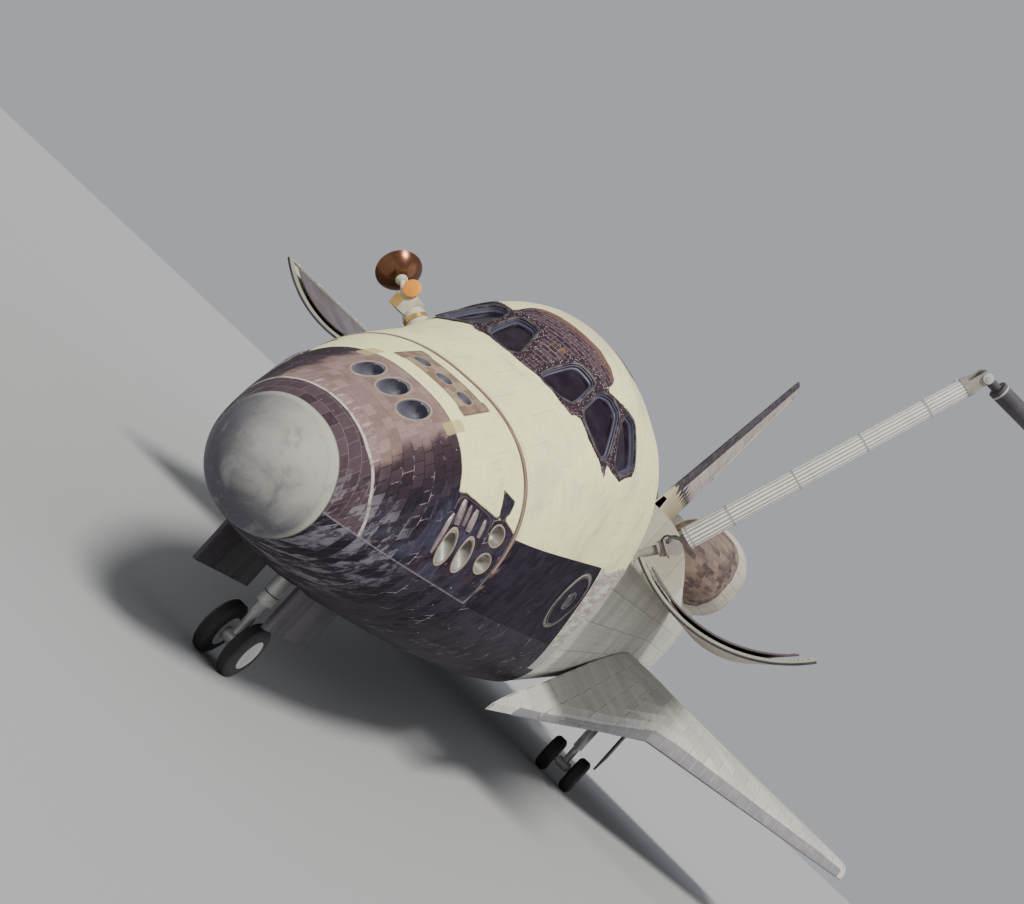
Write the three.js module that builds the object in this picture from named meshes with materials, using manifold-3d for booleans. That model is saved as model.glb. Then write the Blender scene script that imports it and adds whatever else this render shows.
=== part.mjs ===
// A winged space shuttle orbiter, parked on its wheels with its payload bay open and its arm raised.
// Body axes, in millimetres: +X to port, +Y aft from the nose tip, +Z up from the flat belly.
// The whole body is then pitched nose down onto its wheels, with the origin on the floor below its middle.
import * as THREE from 'three';
import { mergeVertices } from 'three/addons/utils/BufferGeometryUtils.js';
import Module from 'manifold-3d';

const wasm = await Module();
wasm.setup();

// Driving dimensions: stations along the body
const CAP_END = 668;
const CAP_LEAN = 0.13;
const MODULE_END = 3556;
const MODULE_LEAN = 0.03;
const SPLIT_Z = 1455;
const BAY_START = 8788;
const BAY_END = 27203;
const BASE_Y = 32664;
const GAP = 0.6;

// Driving dimensions: walls
const NOSE_WALL = 260;
const CABIN_WALL = 150;
const AFT_WALL = 110;
const WING_WALL = 70;
const POD_WALL = 200;

// Driving dimensions: payload bay
const SILL_Z = 3400;
const TROUGH_HALF = 2380;
const TROUGH_FLOOR = 620;
const DOOR_CENTRE_Z = 3048;
const DOOR_RADIUS = 2591;
const DOOR_THICK = 70;
const HINGE_X = 2610;
const HINGE_Z = 3440;
const PORT_DOOR_OPEN = 128;
const STARBOARD_DOOR_OPEN = 142;
const RADIATOR_RADIUS = 2440;
const RADIATOR_THICK = 40;
const RADIATOR_START = 14;
const RADIATOR_STOP = 84;
const RADIATOR_SPLIT = 17900;

// Driving dimensions: wings, flap, fin
const WING_ROOT = 2684;
const GLOVE_Y = 6706;
const GLOVE_OUT = 4780;
const GLOVE_BREAK_Y = 20015;
const TIP_X = 11895;
const TIP_LE_Y = 27127;
const HINGE_Y = 29235;
const ELEVON_IN = 3330;
const ELEVON_MID = 7938;
const ELEVON_OUT = 11780;
const TE_ROOT_Y = 32748;
const TE_SWEEP = 0.1773;
const FLAP_HALF = 3050;
const FLAP_HINGE_Y = 32940;
const FLAP_HINGE_Z = 265;
const FLAP_TE_Y = 34976;
const FIN_BASE_Z = 5588;
const FIN_TIP_Z = 13614;
const FIN_LE = [26467, 34481];
const FIN_TE = [33287, 37236];
const RUDDER_HINGE = [30446, 36023];
const FIN_HALF = [330, 130];
const RUDDER_BOTTOM = 8125;
const RUDDER_TOP = 13230;
const RUDDER_WEB = 7;

// Driving dimensions: landing gear and the parked attitude
const PITCH = Math.atan(0.0695);
const GROUND_Y = 3581;
const GROUND_Z = -1328;
const ORIGIN_Y = 18050.2;
const MAIN_WHEEL_R = 565;
const MAIN_WHEEL_W = 406;
const MAIN_WHEEL_X = 470;
const MAIN_AXLE_Y = 23774;
const MAIN_TRACK = 3454;
const NOSE_WHEEL_R = 406;
const NOSE_WHEEL_W = 224;
const NOSE_WHEEL_X = 230;
const NOSE_AXLE_Y = 3581;

// Driving dimensions: robot arm, with its shoulder on the port sill
const ARM_SHOULDER = new THREE.Vector3(2743, 11265, 4185);
const ARM_PIVOT = new THREE.Vector3(2290, 11265, 3520);
const ARM_TILT = 34.3;
const ARM_YAW = 25.05;
const ARM_PITCH = 105.6;
const ARM_ELBOW = -74.6;
const ARM_WRIST = -85;
const UPPER_ARM = 6380;
const FOREARM = 7060;

// Skin sections of the forward body, one row per station:
// [station, bottom z, widest z, crown z, half width, upper power, lower power]
const SKIN = [
  [0, 1424, 1448, 1472, 24, 2, 2],
  [51, 1211, 1473, 1644, 190, 2, 2],
  [127, 1070, 1473, 1773, 310, 2, 2],
  [279, 929, 1473, 1942, 470, 2.05, 2],
  [508, 787, 1473, 2140, 670, 2.1, 2],
  [813, 691, 1473, 2365, 870, 2.2, 2.05],
  [1245, 584, 1473, 2627, 1090, 2.27, 2.1],
  [1778, 451, 1524, 2893, 1330, 2.34, 2.2],
  [2388, 316, 1600, 3185, 1560, 2.39, 2.3],
  [2921, 236, 1676, 3396, 1745, 2.42, 2.4],
  [3607, 178, 1778, 3653, 1985, 2.42, 2.6],
  [4420, 121, 1880, 4018, 2170, 2.34, 2.9],
  [5182, 75, 1981, 4433, 2285, 2.22, 3.2],
  [5563, 59, 2032, 4826, 2330, 2.17, 3.35],
  [5944, 43, 2083, 5215, 2375, 2.12, 3.5],
  [6706, 15, 2184, 5640, 2470, 2.13, 3.8],
  [7595, 0, 2286, 5686, 2590, 2.2, 4.2],
  [8788, 0, 2388, 5642, 2680, 2.25, 4.5],
];

// Skin sections of the aft body, with the same columns
const AFT_SKIN = [
  [27203, 0, 2388, 5642, 2680, 2.25, 4.5],
  [28400, 0, 2388, 5620, 2860, 2.4, 5],
  [29800, 30, 2300, 5590, 3150, 2.6, 5],
  [31400, 90, 2250, 5590, 3220, 2.7, 5],
  [32664, 150, 2250, 5590, 3200, 2.7, 5],
];

// Basic solids
function solid(geometry) {
  const bare = geometry.index ? geometry.toNonIndexed() : geometry.clone();
  for (const name of Object.keys(bare.attributes)) {
    if (name !== 'position') bare.deleteAttribute(name);
  }
  const merged = mergeVertices(bare, 0.01);
  const mesh = new wasm.Mesh({
    numProp: 3,
    vertProperties: Float32Array.from(merged.attributes.position.array),
    triVerts: Uint32Array.from(merged.index.array),
  });
  return new wasm.Manifold(mesh);
}

// The finished surface, without the slivers that booleans leave
const SLIVER = 0.05;

function geometryOf(body) {
  const mesh = body.simplify(SLIVER).getMesh();
  const geometry = new THREE.BufferGeometry();
  const points = mesh.vertProperties;
  const stride = mesh.numProp;
  const positions = new Float32Array((points.length / stride) * 3);
  for (let i = 0; i < positions.length / 3; i++) {
    positions.set(points.subarray(i * stride, i * stride + 3), i * 3);
  }
  geometry.setAttribute('position', new THREE.BufferAttribute(positions, 3));
  geometry.setIndex(new THREE.BufferAttribute(Uint32Array.from(mesh.triVerts), 1));
  return geometry;
}

// A closed solid through rings of [x, y, z] points, all of one length
function loftGeometry(rings) {
  const count = rings[0].length;
  const points = rings.flat();
  const faces = [];
  const at = (i) => new THREE.Vector3(...points[i]);
  for (let r = 0; r + 1 < rings.length; r++) {
    for (let i = 0; i < count; i++) {
      const a = r * count + i;
      const b = r * count + ((i + 1) % count);
      const [c, d] = [a + count, b + count];
      if (at(a).distanceTo(at(d)) < at(b).distanceTo(at(c))) faces.push([a, b, d], [a, d, c]);
      else faces.push([a, b, c], [b, d, c]);
    }
  }
  for (const [ring, turn] of [[0, -1], [rings.length - 1, 1]]) {
    const middle = [0, 1, 2].map((k) => rings[ring].reduce((sum, p) => sum + p[k], 0) / count);
    const hub = points.push(middle) - 1;
    for (let i = 0; i < count; i++) {
      const a = ring * count + i;
      const b = ring * count + ((i + 1) % count);
      faces.push(turn > 0 ? [a, b, hub] : [b, a, hub]);
    }
  }
  let volume = 0;
  for (const [a, b, c] of faces) volume += at(a).dot(at(b).cross(at(c)));
  if (volume < 0) faces.forEach((face) => face.reverse());
  const geometry = new THREE.BufferGeometry();
  geometry.setAttribute('position', new THREE.Float32BufferAttribute(points.flat(), 3));
  geometry.setIndex(faces.flat());
  return geometry;
}

const loft = (rings) => solid(loftGeometry(rings));

// A box between two corners
function block(low, high) {
  const size = high.map((v, i) => v - low[i]);
  const box = new THREE.BoxGeometry(...size);
  box.translate(...low.map((v, i) => v + size[i] / 2));
  return solid(box);
}

// A straight round bar or cone between two points
function bar(from, to, r1, r2 = r1, sides = 16) {
  const start = new THREE.Vector3(...from);
  const end = new THREE.Vector3(...to);
  const length = start.distanceTo(end);
  const rod = new THREE.CylinderGeometry(r2, r1, length, sides);
  rod.translate(0, length / 2, 0);
  const turn = new THREE.Quaternion().setFromUnitVectors(
    new THREE.Vector3(0, 1, 0),
    end.clone().sub(start).normalize(),
  );
  rod.applyQuaternion(turn);
  rod.translate(start.x, start.y, start.z);
  return solid(rod);
}

// A solid of revolution about the line from a point along a direction, profile rows [radius, distance]
function turned(profile, origin, direction, sides = 28) {
  const lathe = new THREE.LatheGeometry(profile.map(([r, d]) => new THREE.Vector2(r, d)), sides);
  const axis = new THREE.Vector3(...direction).normalize();
  lathe.applyQuaternion(new THREE.Quaternion().setFromUnitVectors(new THREE.Vector3(0, 1, 0), axis));
  lathe.translate(...origin);
  const body = solid(lathe);
  if (body.volume() > 0) return body;
  const flipped = new THREE.LatheGeometry(
    profile.slice().reverse().map(([r, d]) => new THREE.Vector2(r, d)),
    sides,
  );
  flipped.applyQuaternion(new THREE.Quaternion().setFromUnitVectors(new THREE.Vector3(0, 1, 0), axis));
  flipped.translate(...origin);
  return solid(flipped);
}

// A point's coordinates after a step along a direction
const along = (point, direction, distance) => point.clone().addScaledVector(direction, distance).toArray();

const mirrored = (body) => body.mirror([1, 0, 0]);
const joined = (...bodies) => bodies.reduce((sum, body) => sum.add(body));

// Skin rings: a superellipse whose two halves have their own height and power
function skinRing(row, inset, count = 32) {
  const [y, bottom, belt, crown, half, upper, lower] = row;
  const ring = [];
  for (let i = 0; i < count; i++) {
    const angle = (2 * Math.PI * i) / count;
    const c = Math.cos(angle);
    const s = Math.sin(angle);
    const power = s >= 0 ? upper : lower;
    const height = (s >= 0 ? crown - belt : belt - bottom) - inset;
    const x = Math.sign(c) * Math.max(half - inset, 1) * Math.abs(c) ** (2 / power);
    const z = belt + Math.sign(s) * Math.max(height, 1) * Math.abs(s) ** (2 / power);
    ring.push([x, y, z]);
  }
  return ring;
}

// The table's section at any station, by straight lines between its rows
function sectionAt(table, y) {
  const next = Math.max(1, table.findIndex((row) => row[0] >= y));
  const [a, b] = [table[next - 1], table[next]];
  const t = (y - a[0]) / (b[0] - a[0]);
  return a.map((v, i) => v + t * (b[i] - v));
}

// Half spaces as large boxes, leaning with height
const BIG = 60000;
function aheadOf(y, lean, refZ) {
  const box = new THREE.BoxGeometry(BIG, BIG, BIG);
  box.translate(0, -BIG / 2, 0);
  box.rotateX(Math.atan(lean));
  box.translate(0, y, refZ);
  return solid(box);
}
const above = (z) => block([-BIG, -BIG, z], [BIG, BIG, BIG]);

// Forward body
const forwardOuter = loft(SKIN.map((row) => skinRing(row, 0)));

function forwardInner(wall, from, to) {
  const rows = SKIN.filter((row) => row[0] > from + 1 && row[0] < to - 1);
  const all = [sectionAt(SKIN, from), ...rows, sectionAt(SKIN, Math.min(to, BAY_START))];
  const rings = all.map((row) => skinRing(row, wall));
  const last = rings[rings.length - 1].map(([x, , z]) => [x, to, z]);
  return loft([...rings, last]);
}

const capSide = aheadOf(CAP_END, CAP_LEAN, 1524);
const behindCap = aheadOf(CAP_END + GAP, CAP_LEAN, 1524);
const moduleSide = aheadOf(MODULE_END, MODULE_LEAN, 2500);
const behindModule = aheadOf(MODULE_END + GAP, MODULE_LEAN, 2500);

const noseCap = forwardOuter.intersect(capSide);

// Forward thruster module: wells as rows [x, y, z, well radius, direction]
const FORWARD_JETS = [
  [372, 1796, 2870, 150, [0.03, -1, 0.03]],
  [0, 1796, 2908, 150, [0, -1, 0.03]],
  [-372, 1796, 2870, 150, [-0.03, -1, 0.03]],
];
const UPPER_JETS = [
  [366, 2919, 3390, 120, [0.05, 0, 1]],
  [0, 2919, 3417, 120, [0, 0, 1]],
  [-366, 2919, 3390, 120, [-0.05, 0, 1]],
];
const SIDE_JETS = [
  [1765, 3217, 2381, 135, [1, 0, 0.1]],
  [1820, 3269, 2013, 135, [1, 0, -0.05]],
  [1560, 2480, 1930, 130, [0.67, 0, -0.74]],
  [1682, 2846, 1975, 130, [0.67, 0, -0.74]],
];

function jetWell([x, y, z, radius, direction], depth) {
  const d = new THREE.Vector3(...direction).normalize();
  const start = new THREE.Vector3(x, y, z).addScaledVector(d, -depth);
  const end = new THREE.Vector3(x, y, z).addScaledVector(d, 500);
  return bar(start.toArray(), end.toArray(), radius, radius * 1.3, 12);
}

function forwardModule() {
  let body = forwardOuter.subtract(behindCap).intersect(moduleSide).intersect(above(SPLIT_Z + GAP));
  body = body.subtract(forwardInner(NOSE_WALL + 190, 1100, MODULE_END - 250));
  const wells = [...FORWARD_JETS, ...UPPER_JETS, ...SIDE_JETS];
  for (const [x, y, z, radius, direction] of SIDE_JETS) {
    wells.push([-x, y, z, radius, [-direction[0], direction[1], direction[2]]]);
  }
  for (const well of wells) body = body.subtract(jetWell(well, well[4][1] < -0.9 ? 340 : 260));
  return body;
}

// Lower forward body: a tub with the nose wheel well in its floor
const NOSE_WELL = { half: 640, front: 2300, back: 4350, top: 1420 };

function lowerForward() {
  const outer = forwardOuter.subtract(behindCap).subtract(above(SPLIT_Z));
  const hollow = forwardInner(NOSE_WALL, 1500, BAY_START + 400);
  const w = NOSE_WELL;
  const box = block([-w.half - 60, w.front - 60, -500], [w.half + 60, w.back + 60, w.top]);
  const inside = block([-w.half, w.front, -600], [w.half, w.back, w.top + 100]);
  return outer.subtract(hollow).add(box.intersect(outer)).subtract(inside);
}

// Windows of the port side, each a list of its corner points [x, y, z] on the skin
const WINDOWS = {
  front: [[215, 5260, 4500], [380, 5730, 4980], [800, 5790, 4920], [865, 5480, 4590],
    [850, 5330, 4440], [640, 5200, 4380], [330, 5130, 4370]],
  middle: [[940, 5790, 4880], [1100, 5970, 4930], [1320, 6060, 4830], [1550, 5860, 4470],
    [1695, 5750, 4215], [1670, 5590, 4110], [1500, 5470, 4180], [1195, 5385, 4325],
    [1000, 5430, 4480]],
  side: [[1360, 6250, 4930], [1490, 6430, 4920], [1680, 6470, 4730], [1960, 6590, 4355],
    [1935, 6150, 4135], [1805, 5900, 4185], [1620, 5935, 4450], [1440, 6030, 4710]],
};

// The flat prism through a window: its outline on the mean plane, from a depth inside to a height outside
function windowPrism(corners, inside, outside, grow = 0) {
  const points = corners.map((p) => new THREE.Vector3(...p));
  const middle = points.reduce((sum, p) => sum.add(p), new THREE.Vector3()).divideScalar(points.length);
  const normal = new THREE.Vector3();
  points.forEach((p, i) => {
    const q = points[(i + 1) % points.length];
    normal.add(p.clone().sub(middle).cross(q.clone().sub(middle)));
  });
  normal.normalize();
  if (normal.z < 0) normal.negate();
  const ring = (offset) => points.map((p) => {
    const flat = p.clone().sub(middle);
    flat.addScaledVector(normal, -flat.dot(normal));
    flat.multiplyScalar(1 + grow / flat.length());
    return flat.add(middle).addScaledVector(normal, offset).toArray();
  });
  return loft([ring(-inside), ring(outside)]);
}

const OVERHEAD = { x: 520, y: 7350, half: 255 };
const HATCH = { y: 6913, z: 2229, radius: 508, skinX: 2520 };

function hatchCylinder(radius, from, to) {
  return bar([from, HATCH.y, HATCH.z], [to, HATCH.y, HATCH.z], radius, radius, 28);
}

const cabinHollow = forwardInner(CABIN_WALL, 3300, BAY_START + 400);

function cabinShell() {
  let body = forwardOuter.subtract(behindModule).intersect(above(SPLIT_Z + GAP)).subtract(cabinHollow);
  for (const corners of Object.values(WINDOWS)) {
    const hole = windowPrism(corners, 500, 400);
    body = body.subtract(hole).subtract(mirrored(hole));
  }
  for (const side of [1, -1]) {
    const { x, y, half } = OVERHEAD;
    body = body.subtract(block([side * x - half, y - half, 5000], [side * x + half, y + half, 6200]));
  }
  return body.subtract(hatchCylinder(HATCH.radius + 18, 1900, 2900));
}

// A glass band behind the three openings of one side, a hand's width inside the skin
const GLASS_INSET = 95;
const GLASS_THICK = 30;

function windshield() {
  const outer = forwardInner(CABIN_WALL + 3, 4900, 7000);
  const inner = forwardInner(CABIN_WALL + 3 + GLASS_THICK, 4800, 7100);
  const band = outer.subtract(inner);
  const keep = joined(...Object.values(WINDOWS).map((c) => windowPrism(c, 420, 200, 45)));
  const bridge = joined(
    block([830, 5400, 4300], [1010, 5760, 4900]),
    block([1500, 5820, 4180], [1640, 6060, 4700]),
  );
  return band.intersect(keep.add(bridge));
}

function overheadGlass() {
  const half = OVERHEAD.half + 40;
  const outer = forwardInner(CABIN_WALL + 3, 6900, 7800);
  const inner = forwardInner(CABIN_WALL + 3 + GLASS_THICK, 6800, 7900);
  return outer.subtract(inner).intersect(
    block([-OVERHEAD.x - half, OVERHEAD.y - half, 5000], [OVERHEAD.x + half, OVERHEAD.y + half, 6000]),
  );
}

function crewHatch() {
  const wall = forwardOuter.subtract(forwardInner(CABIN_WALL - 30, 5600, 8200));
  return wall.intersect(hatchCylinder(HATCH.radius, 1900, 2900));
}

// Cabin rear wall with two small windows over the bay and a round inner hatch mouth
const REAR_WINDOW = { x: 330, z: 4820, half: 150 };

function cabinBulkhead() {
  const plug = forwardInner(CABIN_WALL + 5, 7000, BAY_START + 300);
  let body = plug.intersect(block([-BIG, 8640, SPLIT_Z + GAP], [BIG, BAY_START - 20, BIG]));
  for (const side of [1, -1]) {
    const { x, z, half } = REAR_WINDOW;
    body = body.subtract(block([side * x - half, 8500, z - half], [side * x + half, 8900, z + half]));
  }
  return body.subtract(bar([0, 8600, 2300], [0, 8900, 2300], 500, 500, 28));
}

const rearGlass = () => block(
  [-REAR_WINDOW.x - 190, 8600, REAR_WINDOW.z - 190],
  [REAR_WINDOW.x + 190, 8639, REAR_WINDOW.z + 190],
);

// Flight deck: floor plate, instrument panel and two seats in one piece
function flightDeck() {
  const room = forwardInner(CABIN_WALL + 10, 5000, 8640);
  const floor = block([-2200, 5250, 3500], [2200, 8590, 3570]).intersect(room);
  const panel = block([-1150, 5560, 3560], [1150, 5800, 4120]).intersect(room);
  const centre = block([-180, 5700, 3560], [180, 6700, 4000]);
  const seats = [1, -1].map((side) => joined(
    block([side * 650 - 260, 6550, 3560], [side * 650 + 260, 7100, 4000]),
    block([side * 650 - 250, 6980, 3900], [side * 650 + 250, 7120, 4720]),
  ));
  return joined(floor, panel, centre, ...seats);
}

// Mid fuselage: an open trough between the wings
function midFuselage() {
  const row = SKIN[SKIN.length - 1];
  const outer = loft([BAY_START + GAP, BAY_END - GAP].map((y) => skinRing([y, ...row.slice(1)], 0)));
  const inner = [BAY_START - 200, BAY_END + 200].map((y) => {
    const ring = skinRing([y, TROUGH_FLOOR, 2388, 2600, TROUGH_HALF, 6, 3.4], 0, 40);
    return ring.map(([x, , z]) => [x, y, z > 2388 ? 5200 : z]);
  });
  const tub = outer.subtract(above(SILL_Z)).subtract(loft(inner));
  return tub.subtract(block([-TROUGH_HALF, BAY_START - 300, 2380], [TROUGH_HALF, BAY_END + 300, 6000]));
}

// An arc shell about the bay's axis, from one angle to another in degrees above the port horizon
function arcShell(outer, inner, a0, a1, y0, y1, steps) {
  const shape = new THREE.Shape();
  const point = (r, a) => [r * Math.cos(a), r * Math.sin(a)];
  const angles = Array.from({ length: steps + 1 }, (_, i) => THREE.MathUtils.degToRad(a0 + ((a1 - a0) * i) / steps));
  const outline = [...angles.map((a) => point(outer, a)), ...angles.reverse().map((a) => point(inner, a))];
  outline.forEach(([x, z], i) => (i ? shape.lineTo(x, z) : shape.moveTo(x, z)));
  const geometry = new THREE.ExtrudeGeometry(shape, { depth: y1 - y0, bevelEnabled: false });
  geometry.rotateX(Math.PI / 2);
  geometry.translate(0, y1, DOOR_CENTRE_Z);
  return solid(geometry);
}

// Opening a port piece about its sill hinge by an angle in degrees, away from closed
function opened(body, degrees, hinge = [HINGE_X, HINGE_Z]) {
  const [x, z] = hinge;
  return body.translate([-x, 0, -z]).rotate([0, degrees, 0]).translate([x, 0, z]);
}

function bayDoor() {
  const start = THREE.MathUtils.radToDeg(Math.asin((SILL_Z + 34 - DOOR_CENTRE_Z) / DOOR_RADIUS));
  const shell = arcShell(DOOR_RADIUS, DOOR_RADIUS - DOOR_THICK, start, 89.8, BAY_START + 12, BAY_END - 12, 14);
  const fixed = arcShell(
    DOOR_RADIUS - DOOR_THICK + 1, RADIATOR_RADIUS - RADIATOR_THICK,
    RADIATOR_START + 2, RADIATOR_STOP, RADIATOR_SPLIT + 120, BAY_END - 200, 12,
  );
  return shell.add(fixed);
}

function radiator() {
  return arcShell(
    RADIATOR_RADIUS, RADIATOR_RADIUS - RADIATOR_THICK,
    RADIATOR_START, RADIATOR_STOP, BAY_START + 60, RADIATOR_SPLIT, 12,
  );
}

// Aft fuselage, a shell closed by the bay's rear wall and by the base, which the engines pass through
const ENGINES = [
  { name: 'main_engine_top', gimbal: [0, 30709, 4140], pitch: 16, yaw: 0 },
  { name: 'main_engine_port', gimbal: [1346, 31297, 1591], pitch: 10, yaw: 3.5 },
  { name: 'main_engine_starboard', gimbal: [-1346, 31297, 1591], pitch: 10, yaw: -3.5 },
];

function aimed(pitch, yaw) {
  const p = THREE.MathUtils.degToRad(pitch);
  const w = THREE.MathUtils.degToRad(yaw);
  return new THREE.Vector3(Math.sin(w) * Math.cos(p), Math.cos(w) * Math.cos(p), Math.sin(p));
}

const aftOuter = loft(AFT_SKIN.map((row) => skinRing(row, 0)));
const aftClear = loft([
  skinRing([27000, ...AFT_SKIN[0].slice(1)], -1.5),
  ...AFT_SKIN.map((row) => skinRing(row, -1.5)),
  skinRing([BASE_Y + 6, ...AFT_SKIN[AFT_SKIN.length - 1].slice(1)], -1.5),
]);

function aftFuselage() {
  const rows = [sectionAt(AFT_SKIN, 27420), ...AFT_SKIN.slice(1, -1), sectionAt(AFT_SKIN, BASE_Y - 160)];
  let body = aftOuter.subtract(loft(rows.map((row) => skinRing(row, AFT_WALL))));
  for (const engine of ENGINES) {
    const reach = BASE_Y - engine.gimbal[1];
    const aim = aimed(engine.pitch, engine.yaw);
    const mouth = new THREE.Vector3(...engine.gimbal).addScaledVector(aim, reach / aim.y);
    const hole = bar([mouth.x, BASE_Y - 400, mouth.z], [mouth.x, BASE_Y + 400, mouth.z], 1050, 1050, 36);
    body = body.subtract(hole);
  }
  return body;
}

// Main engine bell: rows [radius, distance from the gimbal]
const BELL = [
  [0, 300], [480, 300], [560, 700], [560, 1500], [330, 1750], [300, 2000], [520, 2350], [800, 2850],
  [1010, 3450], [1194, 4267], [1160, 4267], [975, 3450], [765, 2850], [480, 2350], [240, 2050], [0, 2050],
];

function mainEngine(engine) {
  const aim = aimed(engine.pitch, engine.yaw);
  const bell = turned(BELL, engine.gimbal, aim.toArray(), 24);
  const start = new THREE.Vector3(...engine.gimbal);
  const end = start.clone().addScaledVector(aim, 320);
  return bell.add(bar(start.toArray(), end.toArray(), 150, 220, 14));
}

// Room around the top engine's bell, for the fin and pods above it
function topBellRoom() {
  const [engine] = ENGINES;
  const start = new THREE.Vector3(...engine.gimbal);
  const aim = aimed(engine.pitch, engine.yaw);
  return bar(along(start, aim, 1900), along(start, aim, 4600), 720, 1420, 28);
}

// Each engine hangs from a thrust beam across the aft fuselage
const THRUST_BEAM = 240;

function thrustStructure() {
  const beams = ENGINES.map(({ gimbal: [x, y, z] }) => (
    block([x - 260, y - THRUST_BEAM - 160, z - 260], [x + 260, y - 166, z + 260])
  ));
  const front = block([-1900, 29600, 1300], [1900, 29900, 4300]);
  const posts = ENGINES.map(({ gimbal: [x, y, z] }) => block([x - 160, 29800, z - 160], [x + 160, y - 380, z + 160]));
  return joined(front, ...beams, ...posts);
}

// Wing sections: span stations with [x, leading edge y, lower z, thickness, glove share]
const DIHEDRAL = Math.tan(THREE.MathUtils.degToRad(3.5));
const wingLow = (x) => 110 + (x - WING_ROOT) * DIHEDRAL;
const WING_STATIONS = [
  [WING_ROOT, GLOVE_Y, 1420, 1],
  [3230, 10150, 1360, 1],
  [3900, 14480, 1300, 0.8],
  [GLOVE_OUT, GLOVE_BREAK_Y, 1220, 0.25],
  [5600, 20832, 1110, 0],
  [ELEVON_MID, 23170, 850, 0],
  [11500, 26732, 470, 0],
  [TIP_X - 90, 27027, 430, 0],
  [TIP_X, 27420, 260, 0],
];

// Chord profiles as rows [share of chord, upper height share of the wing, of the glove]
const PROFILE = [
  [0, 0.1, 0.06], [0.008, 0.25, 0.14], [0.03, 0.42, 0.2], [0.08, 0.62, 0.28], [0.17, 0.82, 0.38],
  [0.3, 0.96, 0.56], [0.45, 1, 0.78], [0.62, 0.97, 0.95], [0.8, 0.86, 1], [1, 0.7, 0.72],
];
const LOWER = [[1, 0.03], [0.62, 0], [0.3, 0], [0.08, 0.02], [0.02, 0.05]];

function wingRing([x, le, thick, glove], inset, front, back) {
  const low = wingLow(x) + (x === TIP_X ? 90 : 0);
  const start = le + front;
  const chord = back - start;
  const up = (w, g) => low + thick * (w * (1 - glove) + g * glove) - inset;
  const upper = PROFILE.map(([t, w, g]) => [x, start + chord * t, Math.max(up(w, g), low + inset + 4)]);
  const lower = LOWER.map(([t, w]) => [x, start + chord * t, low + thick * w + inset]);
  return [...upper, ...lower];
}

function chordTable(x) {
  const i = Math.max(1, WING_STATIONS.findIndex((row) => row[0] >= x));
  const [a, b] = [WING_STATIONS[i - 1], WING_STATIONS[i]];
  const t = (x - a[0]) / (b[0] - a[0]);
  return a.map((v, k) => v + t * (b[k] - v));
}

// Height of the wing's middle and its half thickness at the elevon hinge line
function hingeAt(x) {
  const [, , thick, glove] = chordTable(x);
  const top = wingLow(x) + thick * (0.7 * (1 - glove) + 0.72 * glove);
  const bottom = wingLow(x) + thick * 0.03;
  return { z: (top + bottom) / 2, half: (top - bottom) / 2 };
}

const GEAR_WELL = { inner: 2790, outer: 4300, front: 20700, back: 24450, top: 1010 };

function wing() {
  const outer = loft(WING_STATIONS.map((row) => wingRing(row, 0, 0, HINGE_Y)));
  const insideRows = [[WING_ROOT - 60, ...WING_STATIONS[0].slice(1)], ...WING_STATIONS.slice(1, 7)];
  const inside = loft(insideRows.map((row) => wingRing(row, WING_WALL, 500, HINGE_Y - 620)));
  const w = GEAR_WELL;
  const wellBox = block([w.inner - 60, w.front - 60, -500], [w.outer + 60, w.back + 60, w.top + 60]);
  const well = block([w.inner, w.front, -600], [w.outer, w.back, w.top]);
  let body = outer.subtract(inside).add(wellBox.intersect(outer)).subtract(well);
  for (const [x0, x1] of [[ELEVON_IN, ELEVON_MID - 15], [ELEVON_MID + 15, ELEVON_OUT]]) {
    const [a, b] = [hingeAt(x0), hingeAt(x1)];
    const grown = (t) => [x0 + (x1 - x0) * t, HINGE_Y, a.z + (b.z - a.z) * t];
    const radius = (t) => a.half + (b.half - a.half) * t + 16;
    body = body.subtract(bar(grown(-0.03), grown(1.03), radius(-0.03), radius(1.03), 28));
    const lip = (t) => {
      const [x, y, z] = grown(t);
      const r = radius(t) - 16;
      return [[x, y - r * 0.58 - 25, z + r * 0.6], [x, y + 60, z + r * 0.6], [x, y + 60, z + r + 80], [x, y - r * 0.58 - 25, z + r + 80]];
    };
    body = body.subtract(loft([lip(-0.02), lip(1.02)]));
  }
  return body.subtract(aftClear);
}

function elevonRing(x, shrink = 0) {
  const { z, half } = hingeAt(x);
  const te = TE_ROOT_Y - (x - WING_ROOT) * TE_SWEEP;
  const ring = [];
  for (let i = 0; i <= 10; i++) {
    const a = THREE.MathUtils.degToRad(90 + 18 * i);
    ring.push([x, HINGE_Y + (half - shrink) * Math.cos(a), z + (half - shrink) * Math.sin(a)]);
  }
  ring.push([x, te, z - 18 - half * 0.12], [x, te, z + 18 - half * 0.12]);
  return ring;
}

const elevon = (x0, x1) => loft([elevonRing(x0), elevonRing(x1)]);

function bodyFlap() {
  const ring = (x, nose) => {
    const points = [];
    for (let i = 0; i <= 10; i++) {
      const a = THREE.MathUtils.degToRad(90 + 18 * i);
      points.push([x, FLAP_HINGE_Y + nose * Math.cos(a), FLAP_HINGE_Z + nose * Math.sin(a)]);
    }
    points.push([x, FLAP_TE_Y, FLAP_HINGE_Z - 90], [x, FLAP_TE_Y, FLAP_HINGE_Z - 30]);
    return points;
  };
  return loft([ring(-FLAP_HALF, 215), ring(FLAP_HALF, 215)]);
}

// Fin: its edges and half thickness at a height
function finAt(z) {
  const t = (z - FIN_BASE_Z) / (FIN_TIP_Z - FIN_BASE_Z);
  const mix = ([a, b]) => a + (b - a) * t;
  return { le: mix(FIN_LE), te: mix(FIN_TE), hinge: mix(RUDDER_HINGE), half: mix(FIN_HALF) };
}

// Fin section rows: [share from leading edge to hinge, share of the half thickness]
const FIN_PROFILE = [[0, 0.04], [0.02, 0.16], [0.08, 0.34], [0.25, 0.66], [0.55, 0.93], [0.8, 1], [1, 1]];

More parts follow.
